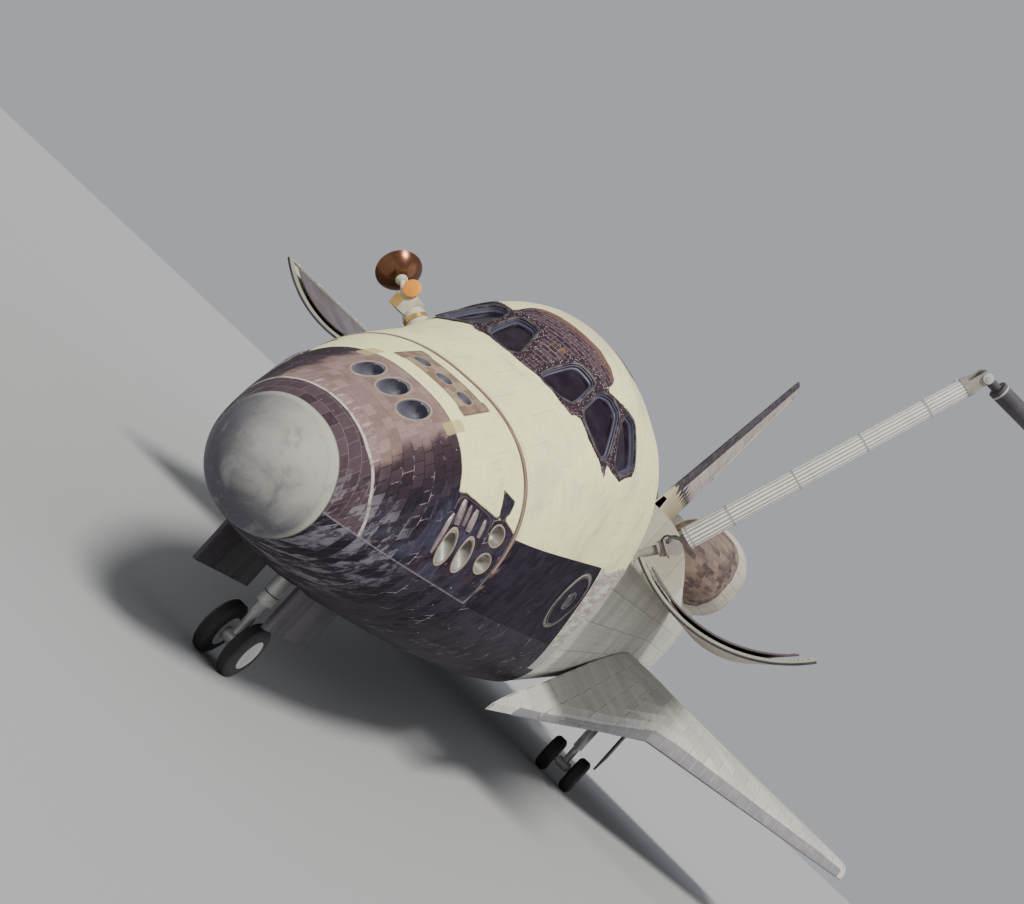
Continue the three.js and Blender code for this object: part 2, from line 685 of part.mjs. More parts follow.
function finRing(z, inset = 0) {
  const { le, te, hinge, half } = finAt(z);
  const side = FIN_PROFILE.map(([t, w]) => [Math.max(half * w - inset, 3), le + inset * 2 + (hinge - le - inset * 2) * t, z]);
  side.push([12, te, z]);
  return [...side, ...side.slice().reverse().map(([x, y]) => [-x, y, z])];
}

function hingePoint(z) {
  return [0, finAt(z).hinge, z];
}

function fin() {
  const outer = loft([FIN_BASE_Z - 500, FIN_TIP_Z - 60, FIN_TIP_Z].map((z, i) => finRing(z, i === 2 ? 30 : 0)));
  const hollowRing = (z) => {
    const { le, hinge, half } = finAt(z);
    const side = [[0.12, 0.3], [0.3, 0.6], [0.6, 0.8], [0.86, 0.8]];
    const port = side.map(([t, w]) => [Math.max(half * w - 20, 8), le + (hinge - 420 - le) * t, z]);
    return [...port, ...port.slice().reverse().map(([x, y]) => [-x, y, z])];
  };
  const aftRing = (z) => {
    const { te, hinge, half } = finAt(z);
    const port = [[half * 0.75, hinge - 600], [half * 0.75, hinge], [half * 0.1, te - 450]];
    const ring = [...port, ...port.slice().reverse().map(([x, y]) => [-x, y])];
    return ring.map(([x, y]) => [x, y, z]);
  };
  const hollow = loft([FIN_BASE_Z - 600, 12600].map(hollowRing)).add(loft([FIN_BASE_Z - 600, RUDDER_BOTTOM - 200].map(aftRing)));
  const doorRoom = [[25000, 4500], [BAY_END + 12, 4500], [BAY_END + 12, 5660], [BAY_END + 360, 6700], [25000, 6700]];
  const ahead = loft([-900, 900].map((x) => doorRoom.map(([y, z]) => [x, y, z])));
  const rudderZone = loft([RUDDER_BOTTOM, RUDDER_TOP].map((z) => {
    const y = finAt(z).hinge - 20;
    return [[-900, y, z], [900, y, z], [900, y + 6000, z], [-900, y + 6000, z]];
  }));
  const r = (z) => Math.hypot(finAt(z).half, 70) * 1.22 + 12;
  const cove = bar(hingePoint(RUDDER_BOTTOM), hingePoint(RUDDER_TOP), r(RUDDER_BOTTOM), r(RUDDER_TOP), 32);
  const open = joined(hollow, rudderZone, cove, aftClear, topBellRoom(), ahead);
  return outer.subtract(open);
}

// One side panel of the split rudder
function rudderPanel() {
  const ring = (z) => {
    const { te, hinge, half } = finAt(z);
    const front = hinge + 70;
    return [[RUDDER_WEB + 7, front, z], [half, front, z], [24, te, z], [RUDDER_WEB + 7, te, z]];
  };
  return loft([RUDDER_BOTTOM + 85, RUDDER_TOP - 95].map(ring));
}

// The shaft and the web between the panels, which gives both their hinge
function rudderShaft() {
  const shaft = bar(hingePoint(RUDDER_BOTTOM + 8), hingePoint(RUDDER_TOP - 8), 45, 45, 14);
  const web = loft([RUDDER_BOTTOM + 90, RUDDER_TOP - 100].map((z) => {
    const { te, hinge } = finAt(z);
    const back = hinge + (te - hinge) * 0.8;
    return [[-RUDDER_WEB, hinge, z], [RUDDER_WEB, hinge, z], [RUDDER_WEB, back, z], [-RUDDER_WEB, back, z]];
  }));
  return shaft.add(web);
}

// Orbital engine pod: sections as rows [y, centre x, centre z, half width, half height]
const POD = [
  [27260, 1750, 4950, 350, 420],
  [27700, 1900, 5020, 900, 1000],
  [28500, 2040, 5130, 1330, 1420],
  [29800, 2110, 5210, 1540, 1600],
  [31400, 2134, 5232, 1626, 1640],
  [32700, 2134, 5232, 1560, 1580],
  [33350, 2134, 5232, 1430, 1450],
];
const OMS_GIMBAL = [2235, 32563, 5385];
const OMS_AIM = aimed(15.8, 6.5);
const OMS_BELL = [
  [0, 0], [150, 0], [150, 120], [120, 200], [260, 500], [420, 900], [560, 1500],
  [530, 1500], [390, 900], [225, 500], [90, 230], [0, 230],
];

function podRing([y, cx, cz, hw, hh]) {
  const ring = [];
  for (let i = 0; i < 32; i++) {
    const a = (2 * Math.PI * i) / 32;
    const c = Math.cos(a);
    const s = Math.sin(a);
    ring.push([cx + Math.sign(c) * hw * Math.abs(c) ** 0.87, y, cz + Math.sign(s) * hh * Math.abs(s) ** 0.87]);
  }
  return ring;
}

function omsPod() {
  const g = new THREE.Vector3(...OMS_GIMBAL);
  const start = g.clone().addScaledVector(OMS_AIM, -260);
  const end = g.clone().addScaledVector(OMS_AIM, 2200);
  const well = bar(start.toArray(), end.toArray(), 420, 980, 30);
  const finClear = loft([5000, 7600].map((z) => {
    const { le, te, half } = finAt(z);
    const h = half + 40;
    return [[-900, le - 400, z], [h, le - 400, z], [h, te + 800, z], [-900, te + 800, z]];
  }));
  const inside = loft(POD.slice(1, -1).map(([y, cx, cz, hw, hh]) => podRing([y, cx, cz, hw - POD_WALL, hh - POD_WALL])));
  const shell = loft(POD.map(podRing)).subtract(inside).subtract(well);
  return shell.subtract(aftClear).subtract(finClear).subtract(topBellRoom());
}

const omsNozzle = () => turned(OMS_BELL, OMS_GIMBAL, OMS_AIM.toArray(), 20);

// The floor's height in body axes, and points a given distance above it
const floorZ = (y) => GROUND_Z - (y - GROUND_Y) * Math.tan(PITCH);
const onFloor = (y, height) => floorZ(y) + height / Math.cos(PITCH);

// Twin wheels on one turning axle, profile rows [radius, distance from the wheel's middle plane].
// The tread has flat facets, and one of them lies on the floor at the tyre's radius.
const TREAD_SIDES = 24;
function wheelPair(x, y, z, tyreRadius, width, offset, axle) {
  const w = width / 2;
  const radius = tyreRadius / Math.cos(Math.PI / TREAD_SIDES);
  const profile = [
    [0, -w * 0.5], [radius * 0.44, -w * 0.5], [radius * 0.6, -w], [radius * 0.88, -w * 0.92],
    [radius, -w * 0.4], [radius, w * 0.4], [radius * 0.88, w * 0.92],
    [radius * 0.6, w], [radius * 0.44, w * 0.5], [0, w * 0.5],
  ];
  const wheels = [1, -1].map((side) => turned(profile, [side * offset, 0, 0], [1, 0, 0], TREAD_SIDES));
  const pair = joined(...wheels, bar([-offset, 0, 0], [offset, 0, 0], axle, axle, 12));
  const halfFacet = 180 / TREAD_SIDES;
  return pair.rotate([halfFacet - THREE.MathUtils.radToDeg(PITCH), 0, 0]).translate([x, y, z]);
}

function bearing(x, y, z, half, bore, outer) {
  const tube = bar([x - half, y, z], [x + half, y, z], outer, outer, 16);
  return [tube, bar([x - half - 50, y, z], [x + half + 50, y, z], bore, bore, 12)];
}

// Main leg, port side: trunnion across the well, strut, drag brace and axle bearing
const MAIN_AXLE_Z = onFloor(MAIN_AXLE_Y, MAIN_WHEEL_R);
const TRUNNION = { y: 23950, z: 700 };

function mainLeg() {
  const [x, y, z] = [MAIN_TRACK, MAIN_AXLE_Y, MAIN_AXLE_Z];
  const [tube, bore] = bearing(x, y, z, 215, 88.5, 150);
  const strut = bar([x, y, z], [x, TRUNNION.y, TRUNNION.z], 100, 150, 18);
  const sleeve = bar([x, y + 60, z + 620], [x, TRUNNION.y, TRUNNION.z], 150, 165, 18);
  const cross = bar([GEAR_WELL.inner + GAP, TRUNNION.y, TRUNNION.z], [GEAR_WELL.outer - GAP, TRUNNION.y, TRUNNION.z], 110, 110, 18);
  const brace = bar([x, y - 10, z + 560], [x, GEAR_WELL.front + 900, 620], 60, 70, 12);
  const pad = bar([GEAR_WELL.inner + GAP, GEAR_WELL.front + 900, 620], [GEAR_WELL.outer - GAP, GEAR_WELL.front + 900, 620], 80, 80, 14);
  return joined(strut, sleeve, cross, brace, pad, tube).subtract(bore);
}

// Nose leg: fixed cylinder with brace, and the steered fork below it
const NOSE_AXLE_Z = onFloor(NOSE_AXLE_Y, NOSE_WHEEL_R);
const NOSE_TOP = { y: 3581, z: 1000 };
const STEER_Z = NOSE_AXLE_Z + 760;

function noseLeg() {
  const w = NOSE_WELL;
  const cylinder = bar([0, NOSE_TOP.y, STEER_Z + 20], [0, NOSE_TOP.y, NOSE_TOP.z], 125, 125, 20);
  const cross = bar([-w.half + GAP, NOSE_TOP.y, NOSE_TOP.z], [w.half - GAP, NOSE_TOP.y, NOSE_TOP.z], 100, 100, 16);
  const brace = bar([0, NOSE_TOP.y, STEER_Z + 300], [0, w.front + 300, 900], 50, 55, 12);
  const pad = bar([-w.half + GAP, w.front + 300, 900], [w.half - GAP, w.front + 300, 900], 70, 70, 14);
  const bore = bar([0, NOSE_TOP.y, STEER_Z - 100], [0, NOSE_TOP.y, STEER_Z + 420], 76, 76, 20);
  return joined(cylinder, cross, brace, pad).subtract(bore);
}

function noseFork() {
  const [tube, bore] = bearing(0, NOSE_AXLE_Y, NOSE_AXLE_Z, 85, 64, 105);
  const piston = bar([0, NOSE_AXLE_Y, NOSE_AXLE_Z], [0, NOSE_AXLE_Y, STEER_Z + 400], 70, 70, 18);
  const collar = bar([0, NOSE_AXLE_Y, STEER_Z - 150], [0, NOSE_AXLE_Y, STEER_Z - 2], 120, 120, 20);
  return joined(piston, collar, tube).subtract(bore);
}

// Gear doors, hanging from the edges of the wells: rows [y, lower z, upper z]
function hangingDoor(outer, thick, rows) {
  return loft(rows.map(([y, low, high]) => [
    [outer - thick, y, low], [outer, y, low], [outer, y, high], [outer - thick, y, high],
  ]));
}

const noseDoor = () => hangingDoor(NOSE_WELL.half - GAP, 48, [
  [NOSE_WELL.front + 15, -240, 420],
  [NOSE_WELL.back - 15, -500, 200],
]);

const mainDoor = () => hangingDoor(GEAR_WELL.outer - GAP, 60, [
  [GEAR_WELL.front + 20, -1240, 330],
  [GEAR_WELL.back - 20, -1240, 330],
]);

// Robot arm directions from its joint angles
const DEG = Math.PI / 180;
function armDirection(elevation) {
  const t = ARM_TILT * DEG;
  const out = Math.cos(elevation * DEG) * Math.cos(ARM_YAW * DEG);
  const aft = Math.cos(elevation * DEG) * Math.sin(ARM_YAW * DEG);
  const up = Math.sin(elevation * DEG);
  return new THREE.Vector3(out * Math.cos(t) + up * Math.sin(t), aft, -out * Math.sin(t) + up * Math.cos(t));
}

const armYawAxis = new THREE.Vector3(Math.sin(ARM_TILT * DEG), 0, Math.cos(ARM_TILT * DEG));
const armPitchAxis = armDirection(0).cross(armYawAxis).normalize();
const upperAim = armDirection(ARM_PITCH);
const foreAim = armDirection(ARM_PITCH + ARM_ELBOW);
const wristAim = armDirection(ARM_PITCH + ARM_ELBOW + ARM_WRIST);
const armElbow = ARM_SHOULDER.clone().addScaledVector(upperAim, UPPER_ARM);
const armWrist = armElbow.clone().addScaledVector(foreAim, FOREARM);

// A hinge drum across the arm at a joint
function drum(point, half, radius, sides = 16) {
  return bar(along(point, armPitchAxis, -half), along(point, armPitchAxis, half), radius, radius, sides);
}

// The cheeks that hold a drum from both sides, on the inner piece
function cheeks(point, aim, reach, half, radius) {
  return [1, -1].map((side) => {
    const base = along(point, armPitchAxis, side * (half + 8));
    const tip = along(point, armPitchAxis, side * (half + 68));
    const plate = bar(base, tip, radius, radius, 14);
    const backBase = new THREE.Vector3(...base).addScaledVector(aim, -reach);
    const backTip = new THREE.Vector3(...tip).addScaledVector(aim, -reach);
    return joined(plate, slab(base, tip, backBase.toArray(), backTip.toArray(), radius - 9, aim));
  });
}

// A flat link between a cheek disc and the boom behind it
function slab(base, tip, backBase, backTip, radius, aim) {
  const a = new THREE.Vector3(...base);
  const b = new THREE.Vector3(...tip);
  const side = b.clone().sub(a).normalize().cross(aim).normalize().multiplyScalar(radius);
  const ring = (p, q) => [
    p.clone().add(side).toArray(), q.clone().add(side).toArray(),
    q.clone().sub(side).toArray(), p.clone().sub(side).toArray(),
  ];
  return loft([ring(a, b), ring(new THREE.Vector3(...backBase), new THREE.Vector3(...backTip))]);
}

// Pedestal on the bay wall under the sill's edge, fixed, and the cradle that rolls on it
function armPedestal() {
  const { x, y, z } = ARM_PIVOT;
  const post = block([x - 90, y - 260, SILL_Z - 220], [TROUGH_HALF - GAP, y + 260, z - 60]);
  const tubes = [[-260, -90], [90, 260]].map(([a, b]) => bar([x, y + a, z], [x, y + b, z], 60, 60, 18));
  const ears = [[-260, -90], [90, 260]].map(([a, b]) => block([x - 55, y + a, z - 80], [x + 55, y + b, z]));
  const slot = block([x - 200, y - 90, z - 110], [x + 200, y + 90, z + 200]);
  const pin = bar([x, y - 270, z], [x, y + 270, z], 42, 42, 16);
  return joined(post, ...tubes, ...ears).subtract(slot).subtract(pin);
}

function armCradle() {
  const { x, y, z } = ARM_PIVOT;
  const foot = ARM_SHOULDER.clone().addScaledVector(armYawAxis, -330);
  const pin = bar([x, y - 255, z], [x, y + 255, z], 36, 36, 16);
  const lug = bar([x, y - 80, z], [x, y + 80, z], 95, 95, 18);
  const link = bar([x, y, z], foot.toArray(), 70, 100, 14);
  const seat = bar(foot.toArray(), along(ARM_SHOULDER, armYawAxis, -262), 150, 150, 20);
  return joined(pin, lug, link, seat);
}

function armShoulder() {
  const base = bar(along(ARM_SHOULDER, armYawAxis, -256), along(ARM_SHOULDER, armYawAxis, -150), 165, 165, 16);
  const yoke = [1, -1].map((side) => {
    const low = along(new THREE.Vector3(...along(ARM_SHOULDER, armPitchAxis, side * 160)), armYawAxis, -160);
    const high = along(new THREE.Vector3(...along(ARM_SHOULDER, armPitchAxis, side * 160)), armYawAxis, 0);
    const outer = along(new THREE.Vector3(...high), armPitchAxis, side * 35);
    const inner = along(new THREE.Vector3(...high), armPitchAxis, -side * 35);
    const disc = bar(inner, outer, 150, 150, 14);
    const web = slab(
      along(new THREE.Vector3(...low), armPitchAxis, -side * 35), along(new THREE.Vector3(...low), armPitchAxis, side * 35),
      inner, outer, 110, armYawAxis,
    );
    return joined(disc, web);
  });
  const plate = bar(along(ARM_SHOULDER, armYawAxis, -185), along(ARM_SHOULDER, armYawAxis, -150), 215, 215, 16);
  return joined(base, plate, ...yoke);
}

function upperArm() {
  const hub = drum(ARM_SHOULDER, 117, 130);
  const boom = bar(along(ARM_SHOULDER, upperAim, 0), along(ARM_SHOULDER, upperAim, UPPER_ARM - 330), 112, 112, 14);
  const sleeve = bar(along(ARM_SHOULDER, upperAim, 260), along(ARM_SHOULDER, upperAim, UPPER_ARM - 330), 218, 178, 18);
  const box = bar(along(ARM_SHOULDER, upperAim, UPPER_ARM - 420), along(ARM_SHOULDER, upperAim, UPPER_ARM - 300), 190, 190, 18);
  return joined(hub, boom, sleeve, box, ...cheeks(armElbow, upperAim, 380, 100, 120));
}

function forearm() {
  const hub = drum(armElbow, 96, 110);
  const neck = bar(armElbow.toArray(), along(armElbow, foreAim, 400), 88, 88, 16);
  const boom = bar(along(armElbow, foreAim, 330), along(armElbow, foreAim, FOREARM - 330), 172, 160, 18);
  const end = bar(along(armElbow, foreAim, FOREARM - 420), along(armElbow, foreAim, FOREARM - 300), 172, 172, 18);
  return joined(hub, neck, boom, end, ...cheeks(armWrist, foreAim, 380, 100, 110));
}

// Wrist: a pitch link, then a yaw link turned a quarter round, then the rolling end effector
const WRIST_YAW = 480;
const WRIST_END = 900;
const armYawPoint = armWrist.clone().addScaledVector(wristAim, WRIST_YAW);
const wristYawAxis = armPitchAxis.clone().cross(wristAim).normalize();

function wristPitchLink() {
  const hub = drum(armWrist, 96, 105);
  const neck = bar(armWrist.toArray(), along(armWrist, wristAim, 230), 85, 85, 14);
  const base = bar(along(armWrist, wristAim, 184), along(armWrist, wristAim, 250), 165, 165, 18);
  const ears = [1, -1].map((side) => {
    const outer = armYawPoint.clone().addScaledVector(wristYawAxis, side * 140);
    const inner = armYawPoint.clone().addScaledVector(wristYawAxis, side * 85);
    const disc = bar(inner.toArray(), outer.toArray(), 105, 105, 14);
    const back = (point) => point.clone().addScaledVector(wristAim, -240).toArray();
    return joined(disc, slab(inner.toArray(), outer.toArray(), back(inner), back(outer), 100, wristAim));
  });
  return joined(hub, neck, base, ...ears);
}

function wristYawLink() {
  const ends = [-77, 77].map((d) => along(armYawPoint, wristYawAxis, d));
  const hub = bar(ends[0], ends[1], 105, 105, 14);
  const neck = bar(armYawPoint.toArray(), along(armWrist, wristAim, WRIST_END - 60), 75, 75, 14);
  const body = bar(along(armWrist, wristAim, WRIST_YAW + 312), along(armWrist, wristAim, WRIST_END), 165, 165, 18);
  return joined(hub, neck, body);
}

function endEffector() {
  const profile = [
    [0, 6], [165, 6], [165, 120], [172, 140], [172, 900], [150, 960], [118, 960], [118, 640], [0, 640],
  ];
  return turned(profile, along(armWrist, wristAim, WRIST_END), wristAim.toArray(), 18);
}

// Dish antenna beside the starboard sill, folding inboard over the sill on a mast hinge
const DISH = { hinge: [-2270, 9150, 3560], box: [-3790, 9280, 4180], apex: [-4200, 9280, 4440] };
const DISH_AIM = new THREE.Vector3(-0.78, 0.52, 0.35).normalize();

function antennaBracket() {
  const [x, y, z] = DISH.hinge;
  const base = block([x - 110, y - 190, SILL_Z + GAP], [x + 90, y + 190, z - 110]);
  const ears = [[-190, -110], [110, 190]].map(([a, b]) => block([x - 60, y + a, z - 120], [x + 60, y + b, z + 50]));
  const pin = bar([x, y - 200, z], [x, y + 200, z], 35.5, 35.5, 14);
  return joined(base, ...ears).subtract(pin);
}

function antennaMast() {
  const [x, y, z] = DISH.hinge;
  const [bx, by, bz] = DISH.box;
  const pin = bar([x, y - 185, z], [x, y + 185, z], 29, 29, 14);
  const lug = bar([x, y - 100, z], [x, y + 100, z], 75, 75, 16);
  const boom = bar([x, y, z], [bx + 350, by - 20, bz - 125], 36, 50, 14);
  const drumPiece = bar([bx + 620, by, bz - 260], [bx + 180, by, bz - 80], 230, 190, 22);
  const box = block([bx - 190, by - 260, bz - 230], [bx + 210, by + 260, bz + 200]);
  const neck = bar([bx - 150, by, bz + 60], along(new THREE.Vector3(...DISH.apex), DISH_AIM, -28), 55, 45, 14);
  return joined(pin, lug, boom, drumPiece, box, neck);
}

function antennaDish() {
  const profile = [
    [0, 0], [90, 4], [240, 70], [380, 190], [457, 300], [440, 306], [365, 206], [230, 92], [85, 26], [0, 20],
  ];
  const dish = turned(profile, DISH.apex, DISH_AIM.toArray(), 24);
  const start = new THREE.Vector3(...DISH.apex);
  const feed = bar(along(start, DISH_AIM, 10), along(start, DISH_AIM, 330), 28, 40, 12);
  return dish.add(feed);
}

// Materials
const paint = (color, roughness, metalness = 0) => new THREE.MeshStandardMaterial({ color, roughness, metalness });
const blanket = () => paint(0xd9d6bf, 0.85);
const blackTile = () => paint(0x3b3638, 0.8);
const greyCap = () => paint(0xb9b5a4, 0.7);
const glass = () => paint(0x20242c, 0.08);
const metal = (color = 0x9a9b9d) => paint(color, 0.4, 0.8);
const tyre = () => paint(0x2b2b2d, 0.85);

// Assembly
const group = new THREE.Group();
const body = new THREE.Group();
body.rotation.x = PITCH;
const lift = GROUND_Y * Math.sin(PITCH) + GROUND_Z * Math.cos(PITCH);
body.position.set(0, -ORIGIN_Y, -lift);
group.add(body);

function place(name, piece, material) {
  const mesh = new THREE.Mesh(geometryOf(piece), material);
  mesh.name = name;
  body.add(mesh);
}

function placePair(name, piece, material) {
  place(`${name}_port`, piece, material);
  place(`${name}_starboard`, mirrored(piece), material);
}

place('nose_cap', noseCap, greyCap());
place('forward_module', forwardModule(), blackTile());
place('lower_forward_fuselage', lowerForward(), blackTile());
place('cabin_shell', cabinShell(), blanket());
placePair('windshield', windshield(), glass());
place('overhead_window', overheadGlass(), glass());
place('crew_hatch', crewHatch(), blanket());
place('cabin_bulkhead', cabinBulkhead(), blanket());
place('rear_window', rearGlass(), glass());
place('flight_deck', flightDeck(), paint(0x5b5f63, 0.6));
place('mid_fuselage', midFuselage(), blanket());
place('bay_door_port', opened(bayDoor(), PORT_DOOR_OPEN), blanket());
place('bay_door_starboard', mirrored(opened(bayDoor(), STARBOARD_DOOR_OPEN)), blanket());
place('radiator_port', opened(radiator(), PORT_DOOR_OPEN), metal(0x8a7a72));
place('radiator_starboard', mirrored(opened(radiator(), STARBOARD_DOOR_OPEN)), metal(0x8a7a72));
place('aft_fuselage', aftFuselage(), blanket());
place('thrust_structure', thrustStructure(), metal());
placePair('wing', wing(), blackTile());
placePair('elevon_inner', elevon(ELEVON_IN, ELEVON_MID - 15), blackTile());
placePair('elevon_outer', elevon(ELEVON_MID + 15, ELEVON_OUT), blackTile());
place('body_flap', bodyFlap(), blackTile());
place('fin', fin(), blanket());
place('rudder_shaft', rudderShaft(), metal());
placePair('rudder_panel', rudderPanel(), blanket());
placePair('engine_pod', omsPod(), blanket());
placePair('pod_nozzle', omsNozzle(), metal());
for (const engine of ENGINES) place(engine.name, mainEngine(engine), metal(0x7d7a78));
place('nose_leg', noseLeg(), metal());
place('nose_fork', noseFork(), metal());
place('nose_wheels', wheelPair(0, NOSE_AXLE_Y, NOSE_AXLE_Z, NOSE_WHEEL_R, NOSE_WHEEL_W, NOSE_WHEEL_X, 56), tyre());
placePair('main_leg', mainLeg(), metal());
const mainWheels = wheelPair(MAIN_TRACK, MAIN_AXLE_Y, MAIN_AXLE_Z, MAIN_WHEEL_R, MAIN_WHEEL_W, MAIN_WHEEL_X, 80);
placePair('main_wheels', mainWheels, tyre());
placePair('nose_gear_door', noseDoor(), blackTile());
placePair('main_gear_door', mainDoor(), blackTile());
place('arm_pedestal', armPedestal(), blanket());
place('arm_cradle', armCradle(), metal());
place('arm_shoulder', armShoulder(), metal());
place('arm_upper_boom', upperArm(), blanket());
place('arm_forearm', forearm(), blanket());
place('arm_wrist_pitch', wristPitchLink(), blanket());
place('arm_wrist_yaw', wristYawLink(), blanket());
place('arm_end_effector', endEffector(), blanket());
place('antenna_bracket', antennaBracket(), metal());
place('antenna_mast', antennaMast(), metal());
place('antenna_dish', antennaDish(), metal(0x8b6b3c));

export default group;
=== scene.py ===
import math

import bmesh
import bpy
import numpy as np
from mathutils import Matrix, Vector


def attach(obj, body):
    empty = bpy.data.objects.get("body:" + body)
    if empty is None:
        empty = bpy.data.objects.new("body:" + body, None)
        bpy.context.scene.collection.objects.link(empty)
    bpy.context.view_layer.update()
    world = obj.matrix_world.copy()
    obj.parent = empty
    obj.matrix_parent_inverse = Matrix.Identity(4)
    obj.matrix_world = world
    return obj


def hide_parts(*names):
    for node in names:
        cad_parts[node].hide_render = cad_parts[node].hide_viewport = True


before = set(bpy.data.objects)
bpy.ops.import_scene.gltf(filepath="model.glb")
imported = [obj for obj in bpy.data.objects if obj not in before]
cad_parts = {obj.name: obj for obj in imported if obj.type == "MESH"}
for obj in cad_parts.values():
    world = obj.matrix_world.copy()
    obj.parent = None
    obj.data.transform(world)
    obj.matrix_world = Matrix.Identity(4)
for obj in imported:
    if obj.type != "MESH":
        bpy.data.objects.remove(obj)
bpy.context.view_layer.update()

# Body axes in millimetres: x to port, y aft of the nose tip, z up. The parked body leans nose down.
LEAN = 0.0695
PITCH = math.atan(LEAN)
COS, SIN = math.cos(PITCH), math.sin(PITCH)
# The nose wheels' station, and how far the floor lies below zero height there
NOSE_AXLE_Y, FLOOR_DROP = 3581, 1328
LIFT = NOSE_AXLE_Y * SIN - FLOOR_DROP * COS
MIDDLE = 18.0502  # from the nose tip to the frame's origin along the floor, in metres
TO_ROW = Matrix((
    (1, 0, 0, 0),
    (0, COS, -SIN, -MIDDLE),
    (0, SIN, COS, -LIFT / 1000),
    (0, 0, 0, 1),
))
TURN = TO_ROW.to_3x3()

SIDES = ((1, "port"), (-1, "starboard"))
COLLECTION = bpy.context.scene.collection


def V(*p):
    return Vector(p)


# ---------------------------------------------------------------- camera

# The photograph's camera in body axes, in metres
CAMERA_PLACE = V(4.69915, -10.4098, 3.01896)
CAMERA_RIGHT = V(0.7216, 0.1718, 0.6706)
CAMERA_UP = V(-0.6462, -0.1802, 0.7416)
CAMERA_BACK = V(0.2483, -0.9685, -0.0190)
LENS, FILM_WIDTH, FAR = 39.68, 36, 9000


def make_camera():
    data = bpy.data.cameras.new("camera")
    data.lens = LENS
    data.sensor_width = FILM_WIDTH
    data.sensor_fit = "HORIZONTAL"
    data.clip_end = FAR
    camera = bpy.data.objects.new("camera", data)
    COLLECTION.objects.link(camera)
    axes = Matrix([TURN @ axis for axis in (CAMERA_RIGHT, CAMERA_UP, CAMERA_BACK)]).transposed().to_4x4()
    camera.matrix_world = Matrix.Translation(TO_ROW @ CAMERA_PLACE) @ axes
    bpy.context.scene.camera = camera


make_camera()


# ---------------------------------------------------------------- materials

